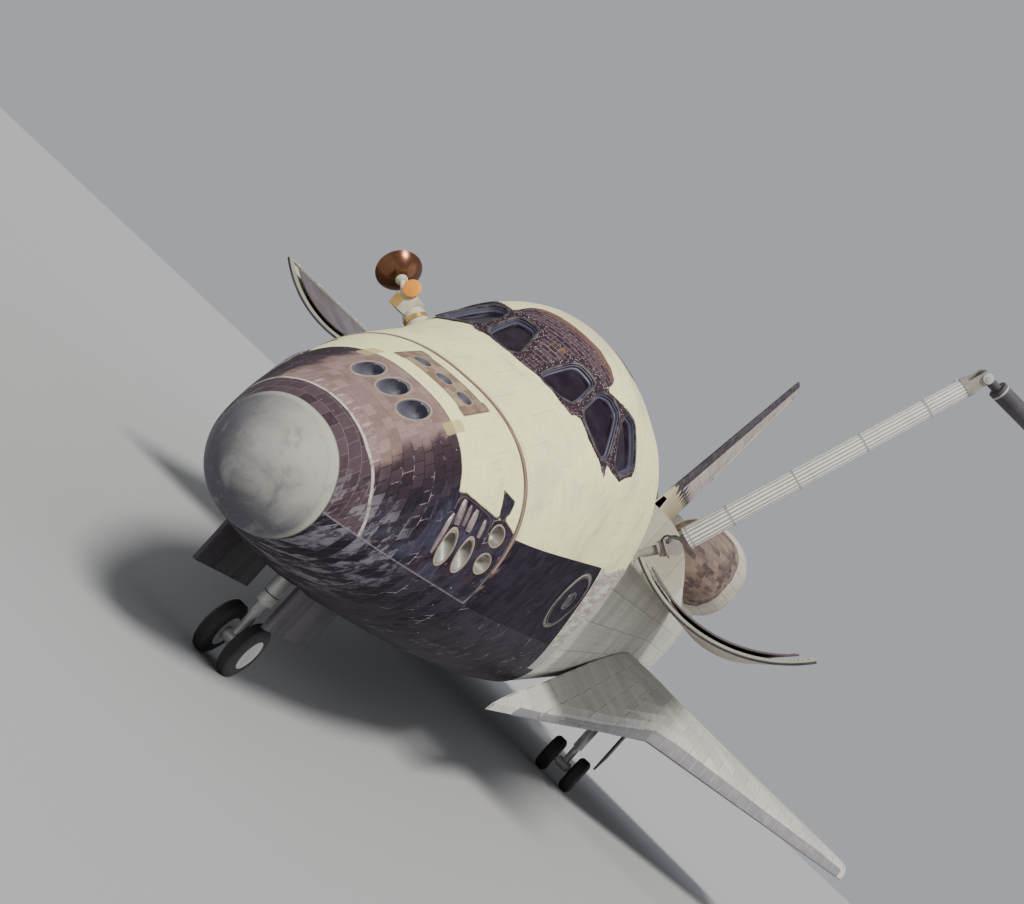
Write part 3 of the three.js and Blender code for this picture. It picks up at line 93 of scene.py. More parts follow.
class Paint:
    """A procedural material built node by node."""

    def __init__(self, name, roughness=0.8, metallic=0.0, **extra):
        self.material = bpy.data.materials.new(name)
        self.material.use_nodes = True
        self.tree = self.material.node_tree
        self.shader = self.tree.nodes["Principled BSDF"]
        self.shader.inputs["Roughness"].default_value = roughness
        self.shader.inputs["Metallic"].default_value = metallic
        for key, value in extra.items():
            self.shader.inputs[key.replace("_", " ")].default_value = value
        self.made = {}

    def node(self, kind, inputs=(), **settings):
        made = self.tree.nodes.new(kind)
        for key, value in settings.items():
            setattr(made, key, value)
        for key, value in dict(inputs).items():
            if isinstance(value, bpy.types.NodeSocket):
                self.tree.links.new(value, made.inputs[key])
            else:
                made.inputs[key].default_value = value
        return made

    def math(self, operation, a, b=0.0):
        return self.node("ShaderNodeMath", {0: a, 1: b}, operation=operation).outputs[0]

    def times(self, a, b):
        return self.math("MULTIPLY", a, b)

    def plus(self, a, b):
        return self.math("ADD", a, b)

    def minus(self, a, b):
        return self.math("SUBTRACT", a, b)

    def rest(self, a):
        """What is left of one."""
        return self.math("SUBTRACT", 1.0, a)

    def swing(self, a, amount):
        """A 0 to 1 value as a shift either way."""
        return self.times(self.minus(a, 0.5), amount)

    def near(self, name, far, close):
        """1 where a signed distance is nearly zero, 0 beyond the far distance."""
        return self.ramp(self.math("ABSOLUTE", self.value(name)), far, close)

    def mix(self, factor, a, b):
        a, b = [c if isinstance(c, bpy.types.NodeSocket) else (*c, 1.0)[:4] for c in (a, b)]
        return self.node(
            "ShaderNodeMix", {0: factor, 6: a, 7: b}, data_type="RGBA", clamp_factor=True,
        ).outputs[2]

    def layers(self, colour, *rows):
        """A colour with others laid over it in turn; rows are (mask, colour)."""
        for mask, top in rows:
            colour = self.mix(mask, colour, top)
        return colour

    def ramp(self, value, low, high, to_low=0.0, to_high=1.0):
        inputs = {"Value": value, "From Min": low, "From Max": high, "To Min": to_low, "To Max": to_high}
        return self.node(
            "ShaderNodeMapRange", inputs, interpolation_type="SMOOTHSTEP", clamp=True,
        ).outputs[0]

    def place(self, source="Object", scale=(1, 1, 1), turn=(0, 0, 0)):
        """Object coordinates, or a UV map by its name, turned and scaled."""
        key = (source, tuple(scale), tuple(turn))
        if key not in self.made:
            if source == "Object":
                start = self.node("ShaderNodeTexCoord").outputs[source]
            else:
                start = self.node("ShaderNodeUVMap", uv_map=source).outputs[0]
            inputs = {"Vector": start, "Scale": scale, "Rotation": turn}
            self.made[key] = self.node("ShaderNodeMapping", inputs).outputs[0]
        return self.made[key]

    def value(self, name):
        if name not in self.made:
            self.made[name] = self.node("ShaderNodeAttribute", attribute_name=name).outputs["Fac"]
        return self.made[name]

    def noise(self, where, scale, detail=4.0, roughness=0.55, distortion=0.0):
        inputs = {
            "Vector": where, "Scale": scale, "Detail": detail, "Roughness": roughness,
            "Distortion": distortion,
        }
        return self.node("ShaderNodeTexNoise", inputs).outputs[0]

    def cells(self, where, scale):
        return self.node(
            "ShaderNodeTexVoronoi", {"Vector": where, "Scale": scale}, feature="F1",
        ).outputs["Distance"]

    def bricks(self, where, width, height, seam, offset=0.5):
        """A tone for each brick, and the seams between them."""
        inputs = {
            "Vector": where, "Color1": (0, 0, 0, 1), "Color2": (1, 1, 1, 1), "Mortar": (0.5, 0.5, 0.5, 1),
            "Scale": 1.0, "Mortar Size": seam, "Mortar Smooth": 0.2, "Bias": 0.0,
            "Brick Width": width, "Row Height": height,
        }
        made = self.node("ShaderNodeTexBrick", inputs, offset=offset, squash=1.0)
        tone = self.node("ShaderNodeSeparateColor", {0: made.outputs["Color"]}).outputs[0]
        return tone, made.outputs["Fac"]

    def finish(self, colour, height=None, depth=0.004, strength=0.6, roughness=None):
        self.tree.links.new(colour, self.shader.inputs["Base Color"])
        if height is not None:
            bump = self.node("ShaderNodeBump", {"Height": height, "Strength": strength, "Distance": depth})
            self.tree.links.new(bump.outputs[0], self.shader.inputs["Normal"])
        if roughness is not None:
            self.tree.links.new(roughness, self.shader.inputs["Roughness"])
        return self.material


TILE = 0.152


def tile_tones(paint, where, dark, light, width, height, seam, chips=0.5):
    """Tiles with a tone of their own, worn spots, pale chipped seams: colour, seam mask and height."""
    tone, gap = paint.bricks(where, width, height, seam)
    cloud = paint.noise(where, 1.3, 5, 0.6)
    fine = paint.noise(where, 14, 5, 0.65)
    tone = paint.plus(paint.times(tone, 0.55), paint.times(cloud, 0.6))
    colour = paint.mix(paint.ramp(tone, 0.25, 0.85), dark, light)
    colour = paint.mix(paint.ramp(fine, 0.45, 0.75, 0.0, 0.3), colour, [c * 1.5 + 0.012 for c in light])
    speck = paint.cells(where, 8.0)
    chance = paint.noise(where, 1.7, 3, 0.5)
    spots = paint.times(paint.ramp(speck, 0.085, 0.05), paint.ramp(chance, 0.5, 0.62, 0.0, chips * 1.6))
    colour = paint.mix(spots, colour, (0.6, 0.57, 0.58))
    chipped = paint.ramp(paint.noise(where, 3.1, 3, 0.6), 0.56, 0.64, 0.0, chips)
    colour = paint.mix(paint.times(paint.ramp(gap, 0.1, 0.6), chipped), colour, (0.5, 0.46, 0.48))
    height = paint.minus(paint.times(fine, 0.25), gap)
    return colour, paint.times(gap, paint.rest(chipped)), height


def dark_tiles(name):
    paint = Paint(name, roughness=0.62)
    colour, gap, height = tile_tones(
        paint, paint.place(), (0.022, 0.017, 0.024), (0.07, 0.056, 0.068), TILE, TILE, 0.0035,
    )
    return paint.finish(paint.mix(gap, colour, (0.012, 0.01, 0.012)), height, 0.003, 0.5)


def worn_metal(name, base, roughness=0.4, metallic=0.8, grain=6.0, stain=(0.12, 0.1, 0.09), amount=0.4):
    paint = Paint(name, roughness=roughness, metallic=metallic)
    place = paint.place()
    cloud = paint.noise(place, grain * 0.35, 6, 0.6)
    fine = paint.noise(place, grain * 6, 4, 0.6)
    colour = paint.mix(paint.ramp(cloud, 0.4, 0.75, 0.0, amount), base, stain)
    colour = paint.mix(paint.ramp(fine, 0.4, 0.7, 0.0, 0.25), colour, [min(c * 1.35, 1) for c in base])
    rough = paint.ramp(cloud, 0.3, 0.7, roughness * 0.75, min(roughness * 1.4, 1))
    return paint.finish(colour, fine, 0.0015, 0.3, rough)


def coated(name, base, roughness=0.5, stain=(0.3, 0.27, 0.22), amount=0.35, sheen=0.0, depth=0.006):
    """Painted or wrapped surfaces with grime and fine wrinkles."""
    paint = Paint(name, roughness=roughness, Sheen_Weight=sheen)
    place = paint.place()
    cloud = paint.noise(place, 2.6, 6, 0.62)
    crease = paint.noise(place, 19, 5, 0.62, 0.6)
    colour = paint.mix(paint.ramp(cloud, 0.42, 0.75, 0.0, amount), base, stain)
    colour = paint.mix(paint.ramp(crease, 0.52, 0.72, 0.0, 0.3), colour, [c * 0.62 for c in base])
    return paint.finish(colour, crease, depth, 0.55)


# ---------------------------------------------------------------- the forward skin

# Rows: station, bottom, widest height, crown, half width, upper power, lower power
SKIN = np.array([
    [0, 1447, 1448, 1449, 1, 2, 2], [51, 1211, 1473, 1644, 190, 2, 2], [127, 1070, 1473, 1773, 310, 2, 2],
    [279, 929, 1473, 1942, 470, 2.05, 2], [508, 787, 1473, 2140, 670, 2.1, 2],
    [813, 691, 1473, 2365, 870, 2.2, 2.05], [1245, 584, 1473, 2627, 1090, 2.27, 2.1],
    [1778, 451, 1524, 2893, 1330, 2.34, 2.2], [2388, 316, 1600, 3185, 1560, 2.39, 2.3],
    [2921, 236, 1676, 3396, 1745, 2.42, 2.4], [3607, 178, 1778, 3653, 1985, 2.42, 2.6],
    [4420, 121, 1880, 4018, 2170, 2.34, 2.9], [5182, 75, 1981, 4433, 2285, 2.22, 3.2],
    [5563, 59, 2032, 4826, 2330, 2.17, 3.35], [5944, 43, 2083, 5215, 2375, 2.12, 3.5],
    [6706, 15, 2184, 5640, 2470, 2.13, 3.8], [7595, 0, 2286, 5686, 2590, 2.2, 4.2],
    [8788, 0, 2388, 5642, 2680, 2.25, 4.5],
], float)
AFT_SKIN = np.array([
    [27203, 0, 2388, 5642, 2680, 2.25, 4.5], [28400, 0, 2388, 5620, 2860, 2.4, 5],
    [29800, 30, 2300, 5590, 3150, 2.6, 5], [31400, 90, 2250, 5590, 3220, 2.7, 5],
    [32664, 150, 2250, 5590, 3200, 2.7, 5],
], float)
BAY_START, BULKHEAD_Y = 8788, 8768


def smooth_table(table, grid, root=False):
    """Monotone cubic values of every column of a table at the grid's stations."""
    x, t = table[:, 0], np.asarray(grid, float)
    if root:
        x, t = np.sqrt(x), np.sqrt(t)
    h = np.diff(x)[:, None]
    y = table[:, 1:]
    d = np.diff(y, axis=0) / h
    m = np.zeros_like(y)
    m[0], m[-1] = d[0], d[-1]
    with np.errstate(divide="ignore", invalid="ignore"):
        w1, w2 = 2 * h[1:] + h[:-1], h[1:] + 2 * h[:-1]
        inner = (w1 + w2) / (w1 / d[:-1] + w2 / d[1:])
    m[1:-1] = np.where(d[:-1] * d[1:] > 0, inner, 0)
    i = np.clip(np.searchsorted(x, t) - 1, 0, len(x) - 2)
    s = ((t - x[i]) / h[i, 0])[:, None]
    hi = h[i]
    return (
        (2 * s**3 - 3 * s**2 + 1) * y[i] + (s**3 - 2 * s**2 + s) * hi * m[i]
        + (-2 * s**3 + 3 * s**2) * y[i + 1] + (s**3 - s**2) * hi * m[i + 1]
    )


ROOTS = np.linspace(0, math.sqrt(BAY_START), 700)
FINE = smooth_table(SKIN, ROOTS**2, root=True)


def section(y):
    """Columns of the forward skin at stations y."""
    s = np.sqrt(np.clip(y, 0, BAY_START))
    return [np.interp(s, ROOTS, FINE[:, k]) for k in range(6)]


def surface(y, t, columns=None):
    """Skin points at station y and angle t from the crown, signed to port."""
    bottom, belt, crown, half, upper, lower = columns or section(y)
    c, s = np.cos(t), np.sin(t)
    power = np.where(c >= 0, upper, lower)
    x = np.sign(s) * half * np.abs(s) ** (2 / power)
    z = belt + np.sign(c) * np.where(c >= 0, crown - belt, belt - bottom) * np.abs(c) ** (2 / power)
    return np.stack([x, y + 0 * x, z], -1)


def angle_of(points):
    """The skin angle and station below or above which points lie."""
    x, y, z = np.asarray(points, float).reshape(-1, 3).T
    bottom, belt, crown, half, upper, lower = section(y)
    power = np.where(z >= belt, upper, lower)
    height = np.where(z >= belt, crown - belt, belt - bottom)
    a = (np.abs(x) / np.maximum(half, 1e-6)) ** (power / 2)
    b = np.sign(z - belt) * (np.abs(z - belt) / np.maximum(height, 1e-6)) ** (power / 2)
    return np.where(x < 0, -1, 1) * np.arctan2(a, b), y


TURNS = np.linspace(0, math.pi, 401)


def arcs_at(root):
    """Distances round half a ring of the skin from its crown, at the table's angles."""
    ring = surface(root * root + 0 * TURNS, TURNS)
    return np.concatenate([[0], np.cumsum(np.linalg.norm(np.diff(ring, axis=0), axis=1))])


ARCS = np.array([arcs_at(root) for root in ROOTS])


def arc_length(t, y):
    """Distance from the crown round the skin, signed to port, in millimetres."""
    s = np.clip(np.sqrt(np.clip(y, 0, BAY_START)) / ROOTS[-1] * (len(ROOTS) - 1), 0, len(ROOTS) - 1.001)
    a = np.clip(np.abs(t) / math.pi * 400, 0, 399.999)
    i, j = s.astype(int), a.astype(int)
    u, v = s - i, a - j
    value = (
        ARCS[i, j] * (1 - u) * (1 - v) + ARCS[i + 1, j] * u * (1 - v)
        + ARCS[i, j + 1] * (1 - u) * v + ARCS[i + 1, j + 1] * u * v
    )
    return np.sign(t) * value


def chart(points):
    """Unrolls points on the skin to (distance from the crown, station)."""
    t, y = angle_of(points)
    return np.stack([arc_length(t, y), y], -1)


def on_skin(points, offset=0.0):
    """Points moved onto the skin and then out of it by an offset."""
    t, y = angle_of(points)
    y = np.clip(y, 4, BAY_START - 4)
    base = surface(y, t)
    across = surface(y, t + 1e-3) - surface(y, t - 1e-3)
    along = surface(y + 2, t) - surface(y - 2, t)
    normal = np.cross(across, along)
    normal /= np.maximum(np.linalg.norm(normal, axis=1, keepdims=True), 1e-9)
    return base + normal * np.asarray(offset).reshape(-1, 1)


def polygon_distance(points, polygon):
    """Signed distance in metres from chart points to a polygon, positive inside."""
    p, q = np.asarray(points, float), np.asarray(polygon, float)
    best = np.full(len(p), 1e18)
    inside = np.zeros(len(p), bool)
    for a, b in zip(q, np.roll(q, -1, axis=0)):
        d = b - a
        t = np.clip(((p - a) @ d) / max(d @ d, 1e-9), 0, 1)
        best = np.minimum(best, ((p - a - t[:, None] * d) ** 2).sum(1))
        crosses = (a[1] > p[:, 1]) != (b[1] > p[:, 1])
        with np.errstate(divide="ignore", invalid="ignore"):
            x = a[0] + (p[:, 1] - a[1]) / (b[1] - a[1]) * d[0]
        inside ^= crosses & (p[:, 0] < x)
    return np.where(inside, 1, -1) * np.sqrt(best) / 1000


def line_distance(points, line):
    p, q = np.asarray(points, float), np.asarray(line, float)
    best = np.full(len(p), 1e18)
    for a, b in zip(q[:-1], q[1:]):
        d = b - a
        t = np.clip(((p - a) @ d) / max(d @ d, 1e-9), 0, 1)
        best = np.minimum(best, ((p - a - t[:, None] * d) ** 2).sum(1))
    return np.sqrt(best) / 1000


# ---------------------------------------------------------------- mesh tools

def mesh_data(name, points, faces):
    """A mesh datablock in body metres from body millimetres."""
    mesh = bpy.data.meshes.new(name)
    mesh.from_pydata((np.asarray(points, float) / 1000).tolist(), [], [list(map(int, f)) for f in faces])
    return mesh


def build(name, points, faces, material, *rest, **named):
    """A finished piece from body millimetres; the rest is what dress() takes."""
    mesh = mesh_data(name, points, faces)
    mesh.validate()
    return dress(name, mesh, material, *rest, **named)


def dress(name, mesh, material, body="orbiter", smooth=35, slot=None, replaces=(), uv=None, values=None):
    """Makes a mesh a piece with its materials, that rides a body and stands in for CAD nodes."""
    flat = np.empty(len(mesh.vertices) * 3)
    mesh.vertices.foreach_get("co", flat)
    points = flat.reshape(-1, 3) * 1000
    if uv:
        corners = np.empty(len(mesh.loops), int)
        mesh.loops.foreach_get("vertex_index", corners)
        layer = mesh.uv_layers.get("flat") or mesh.uv_layers.new(name="flat")
        layer.data.foreach_set("uv", uv(points)[corners].ravel())
    for key, value in (values(points) if values else {}).items():
        attribute = mesh.attributes.new(key, "FLOAT", "POINT")
        attribute.data.foreach_set("value", np.asarray(value, float))
    mesh.transform(TO_ROW)
    mesh.materials.clear()
    for one in (material if isinstance(material, (list, tuple)) else [material]):
        mesh.materials.append(one)
    mesh.shade_smooth()
    mesh.set_sharp_from_angle(angle=math.radians(smooth))
    piece = bpy.data.objects.new(name, mesh)
    COLLECTION.objects.link(piece)
    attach(piece, body)
    for node in ([replaces] if isinstance(replaces, str) else replaces):
        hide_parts(node)
    return piece


def circle(count):
    """Angles at even steps round a circle."""
    return [2 * math.pi * i / count for i in range(count)]


def swept(rings, spans):
    """Points and faces through rings of equal length, over a number of spans."""
    n, m = len(rings[0]), len(rings)
    faces = [
        (r * n + i, r * n + (i + 1) % n, ((r + 1) % m) * n + (i + 1) % n, ((r + 1) % m) * n + i)
        for r in range(spans) for i in range(n)
    ]
    return np.concatenate([np.asarray(r, float) for r in rings]), faces


def rings_mesh(rings):
    """A solid through rings, closed by flat ends."""
    points, faces = swept(rings, len(rings) - 1)
    n = len(rings[0])
    return points, [*faces, tuple(range(n - 1, -1, -1)), tuple(range(len(points) - n, len(points)))]


def looped(rings):
    """A solid through rings, the last joined to the first."""
    return swept(rings, len(rings))


def axes_of(direction):
    """A direction and two more at right angles to it."""
    d = Vector(direction).normalized()
    side = d.cross(Vector((0, 0, 1)))
    if side.length < 1e-4:
        side = d.cross(Vector((1, 0, 0)))
    side.normalize()
    return d, side, side.cross(d).normalized()


def lathe_mesh(profile, origin, direction, sides=48, closed=False):
    """Rows of (radius, distance along the direction)."""
    d, a, b = axes_of(direction)
    rings = []
    for radius, distance in profile:
        centre = Vector(origin) + d * distance
        rings.append(
            [tuple(centre + (a * math.cos(k) + b * math.sin(k)) * max(radius, 0.5)) for k in circle(sides)]
        )
    return looped(rings) if closed else rings_mesh(rings)


def tube_mesh(path, radius, sides=16):
    """A round tube along a path; radius may be a list."""
    p = [Vector(q) for q in path]
    radii = [radius] * len(p) if isinstance(radius, (int, float)) else list(radius)
    rings = []
    normal = None
    for i, (at, r) in enumerate(zip(p, radii)):
        d = (p[min(i + 1, len(p) - 1)] - p[max(i - 1, 0)]).normalized()
        normal = axes_of(d)[1] if normal is None else normal
        normal = (normal - d * normal.dot(d)).normalized()
        other = d.cross(normal)
        rings.append([tuple(at + (normal * math.cos(k) + other * math.sin(k)) * r) for k in circle(sides)])
    return rings_mesh(rings)


def box_mesh(low, high, bevel=0.0):
    """A box, with its edges broken if a bevel is given."""
    bm = bmesh.new()
    bmesh.ops.create_cube(bm, size=1)
    for v in bm.verts:
        v.co = Vector([l + (h - l) * (c + 0.5) for l, h, c in zip(low, high, v.co)])
    if bevel:
        bmesh.ops.bevel(bm, geom=bm.edges[:], offset=bevel, segments=2, affect="EDGES", profile=0.5)
    return from_bmesh(bm)


def from_bmesh(bm):
    bm.verts.index_update()
    points = [tuple(v.co) for v in bm.verts]
    faces = [tuple(v.index for v in f.verts) for f in bm.faces]
    bm.free()
    return np.array(points), faces


def merged(*pieces):
    """Several (points, faces) pairs as one."""
    points, faces, start = [], [], 0
    for p, f in pieces:
        points.append(np.asarray(p, float))
        faces += [tuple(v + start for v in face) for face in f]
        start += len(p)
    return np.concatenate(points), faces


def mirrored(mesh):
    points, faces = mesh
    return np.asarray(points, float) * (-1, 1, 1), [tuple(reversed(f)) for f in faces]


def moved(mesh, matrix):
    points, faces = mesh
    m = np.array(matrix)
    return np.asarray(points, float) @ m[:3, :3].T + m[:3, 3], faces


def temporary(name, mesh, collection):
    """A closed object for a boolean, with its faces turned out."""
    data = mesh_data(name, *mesh)
    bm = bmesh.new()
    bm.from_mesh(data)
    bmesh.ops.recalc_face_normals(bm, faces=bm.faces[:])
    bm.to_mesh(data)
    bm.free()
    piece = bpy.data.objects.new(name, data)
    collection.objects.link(piece)
    return piece


def carved(mesh, cutters):
    """A closed mesh less its cutters, as a mesh datablock in body metres."""
    piece = temporary("blank", mesh, COLLECTION)
    tools = bpy.data.collections.new("cutters")
    COLLECTION.children.link(tools)
    parts = [temporary("cutter", cutter, tools) for cutter in cutters]
    cut = piece.modifiers.new("cut", "BOOLEAN")
    cut.operation = "DIFFERENCE"
    cut.solver = "EXACT"
    cut.operand_type = "COLLECTION"
    cut.collection = tools
    graph = bpy.context.evaluated_depsgraph_get()
    result = bpy.data.meshes.new_from_object(piece.evaluated_get(graph))
    for part in [piece, *parts]:
        data = part.data
        bpy.data.objects.remove(part)
        bpy.data.meshes.remove(data)
    bpy.data.collections.remove(tools)
    return result


def thickened(points, faces, depth):
    """Closes an open patch of skin with an inner face and a rim."""
    inner = on_skin(points, -depth)
    n = len(points)
    edges = {}
    for face in faces:
        for a, b in zip(face, face[1:] + face[:1]):
            edges[(a, b)] = edges.get((a, b), 0) + 1
    rim = [(b, a, a + n, b + n) for (a, b) in edges if (b, a) not in edges]
    back = [tuple(v + n for v in reversed(face)) for face in faces]
    return np.concatenate([points, inner]), list(faces) + back + rim


RING_STEP, HALF_COUNT = 0.34, 110  # step in the square root of the station, faces round half a ring


def skin_grid(y0, y1):
    """Rings of the skin with even spacing round it, as a bmesh in millimetres."""
    roots = np.arange(math.sqrt(y0), math.sqrt(y1), RING_STEP)
    roots = np.append(roots, math.sqrt(y1))
    bm = bmesh.new()
    rings = []
    share = np.linspace(0, 1, HALF_COUNT + 1)
    for r in roots:
        y = r * r
        s = r / ROOTS[-1] * (len(ROOTS) - 1)
        i = min(int(s), len(ROOTS) - 2)
        arcs = ARCS[i] * (1 - s + i) + ARCS[i + 1] * (s - i)
        t = np.interp(share * arcs[-1], arcs, TURNS)
        t = np.concatenate([t, -t[-2:0:-1]])
        rings.append([bm.verts.new(p) for p in surface(y + 0 * t, t)])
    for a, b in zip(rings, rings[1:]):
        for i in range(len(a)):
            j = (i + 1) % len(a)
            bm.faces.new((a[j], a[i], b[i], b[j]))
    if y0 < 2:
        tip = bm.verts.new((0, 0, 1448))
        first = rings[0]
        for i in range(len(first)):
            bm.faces.new((first[i], first[(i + 1) % len(first)], tip))
    return bm


def keep_side(bm, point, normal):
    """Cuts a bmesh by a plane and drops what lies on the normal's side."""
    geometry = bm.verts[:] + bm.edges[:] + bm.faces[:]
    bmesh.ops.bisect_plane(bm, geom=geometry, dist=1e-4, plane_co=point, plane_no=normal, clear_outer=True)


CAP_NORMAL = V(0, 1, 0.13).normalized()
MODULE_NORMAL = V(0, 1, 0.03).normalized()
CAP_POINT, MODULE_POINT = V(0, 668, 1524), V(0, 3556, 2500)
SPLIT = 1455  # height of the joint between the upper and the lower shells
SEAM = 4
WELL_HALF, WELL_FRONT, WELL_REAR, WELL_SHEET = 640, 2300, 4350, 30  # the nose wheel well
# Cuts for keep_side: what is kept lies behind the plane's normal
BEHIND_CAP = (CAP_POINT + CAP_NORMAL * SEAM, -CAP_NORMAL)
ABOVE_SPLIT = (V(0, 0, SPLIT + 2), V(0, 0, -1))


def skin_flat(points):
    """The chart in metres, the same for port and starboard."""
    return np.abs(chart(points)) / 1000


# ---------------------------------------------------------------- regions on the skin

ARC_HALF = [
    (0, 893, 2424), (287, 886, 2378), (583, 909, 2254), (808, 989, 2083), (954, 1062, 1854),
    (1040, 1159, 1659), (1080, 1225, 1462),
]
ARC_LINE = [(-x, y, z) for x, y, z in ARC_HALF[:0:-1]] + ARC_HALF
BROW = [
    (-996, 5249, 4301), (-842, 5225, 4342), (-620, 5189, 4376), (-408, 5140, 4379), (-175, 5085, 4362),
    (15, 5085, 4367), (248, 5124, 4384), (495, 5143, 4368), (744, 5140, 4310), (986, 5200, 4267),
    (941, 5437, 4511), (892, 5538, 4636), (900, 5700, 4800), (935, 5900, 5000), (945, 6034, 5063),
    (906, 6150, 5150), (810, 6178, 5232), (706, 6214, 5298), (598, 6206, 5328), (381, 6243, 5404),
    (161, 6229, 5421), (-158, 6237, 5426), (-492, 6260, 5431), (-675, 6270, 5393), (-825, 6250, 5326),
    (-906, 6180, 5209), (-945, 6034, 5063), (-968, 5847, 4906),
]
FRAME_BAND = [
    (892, 5538, 4636), (868, 5665, 4773), (859, 5822, 4935), (1038, 5990, 4980), (1183, 6119, 4982),
    (1356, 6300, 4990), (1518, 6480, 4910), (1700, 6540, 4740), (1950, 6660, 4400), (2010, 6600, 4300),
    (1990, 6150, 4070), (1860, 5863, 4080), (1730, 5690, 4110), (1888, 5702, 3899), (1759, 5583, 3994),
    (1385, 5360, 4180), (1080, 5330, 4340), (986, 5250, 4300), (941, 5437, 4511),
]
DARK_CORNER = [
    (1500, 3095, 2880), (1642, 3346, 2860), (1705, 3300, 2700), (1700, 3164, 2550), (1560, 3100, 2560),
]
PALE_PATCH = [(624, 2114, 2960), (782, 2114, 2890), (782, 2493, 3060), (624, 2493, 3110)]


WINDOWS = {
    "front": [
        (215, 5260, 4500), (380, 5730, 4980), (800, 5790, 4920), (865, 5480, 4590), (850, 5330, 4440),
        (640, 5200, 4380), (330, 5130, 4370),
    ],
    "middle": [
        (940, 5790, 4880), (1100, 5970, 4930), (1320, 6060, 4830), (1550, 5860, 4470), (1695, 5750, 4215),
        (1670, 5590, 4110), (1500, 5470, 4180), (1195, 5385, 4325), (1000, 5430, 4480),
    ],
    "side": [
        (1360, 6250, 4930), (1490, 6430, 4920), (1680, 6470, 4730), (1960, 6590, 4355),
        (1935, 6150, 4135), (1805, 5900, 4185), (1620, 5935, 4450), (1440, 6030, 4710),
    ],
}
CREAM, CREAM_WORN = (0.9, 0.87, 0.47), (0.78, 0.745, 0.42)


HATCH_Y, HATCH_Z, HATCH_RADIUS = 6913, 2229, 508


def black_side_end(z):
    """The station at which the black flank ends, at a height."""
    return 7236 + 0.5 * (2953 - z)


def module_values(points):
    x, y, z = points.T
    flat = chart(points)
    around = flat * (1, 1)
    around[:, 0] = np.abs(around[:, 0])
    boundary = 2300 - 45 * np.clip((np.abs(x) - 500) / 800, 0, 1)
    low = np.interp(y, [2250, 2395, 3160, 3250, 3600], [2511, 2558, 2556, 2600, 2520])
    cream = np.minimum(y - boundary, z - low) / 1000
    cream = np.minimum(cream, -polygon_distance(around, chart(DARK_CORNER)))
    panel = np.minimum(np.minimum(612 - np.abs(x), y - 2660), 3242 - y) / 1000
    tabs = np.minimum(np.minimum(612 - np.abs(x), np.abs(x) - 480), np.minimum(y - 2620, 3300 - y)) / 1000
    return {
        "cream": cream,
        "panel": np.where(z > 2600, np.maximum(panel, tabs), -1),
        "arc": line_distance(flat, chart(ARC_LINE)),
        "ahead": (np.interp(np.abs(flat[:, 0]), *chart(ARC_HALF).T) - y) / 1000,
        "side": np.abs(flat[:, 0]) / 1000,
        "patch": polygon_distance(around, chart(PALE_PATCH)),
        "scuff": np.clip((1500 - np.hypot(y - 1150, (z - 1150) * 1.1)) / 1500, 0, 1),
        "low_edge": np.minimum(
            np.abs(z - SPLIT), np.where(z < 2150, np.abs(y - 3540 + 0.03 * (z - 2500)), 900),
        ) / 1000,
        "jet_wash": np.clip((900 - np.hypot(y - 2300, z - 1950)) / 900, 0, 1) * (z < 2550),
    }


def cabin_values(points):
    x, y, z = points.T
    flat = chart(points)
    around = flat * (1, 1)
    around[:, 0] = np.abs(around[:, 0])
    below = 2549 + 0.1266 * (y - 4045) - z
    ahead = black_side_end(z) - y
    return {
        "black": np.minimum(below, ahead) / 1000,
        "behind": np.minimum(below + 60 * np.sin(y / 260), -ahead) / 1000,
        "brow": np.maximum(
            polygon_distance(flat, chart(BROW)), polygon_distance(around, chart(FRAME_BAND)),
        ),
        "hatch": (np.hypot(y - HATCH_Y, z - HATCH_Z) - HATCH_RADIUS) / 1000 + np.where(x < 1500, 5, 0),
        "brow_rear": line_distance(flat, chart(BROW[16:25])),
        "ochre": np.clip(1 - np.hypot(x - 60, (y - 5400) * 0.7) / 420, 0, 1),
        "pane": np.minimum.reduce(
            [line_distance(around, chart(WINDOWS[k] + WINDOWS[k][:1])) for k in WINDOWS]
        ),
        "module_end": np.abs(y - 3556 + 0.03 * (z - 2500)) / 1000,
        "top": np.clip((z - 4900) / 700, 0, 1),
    }


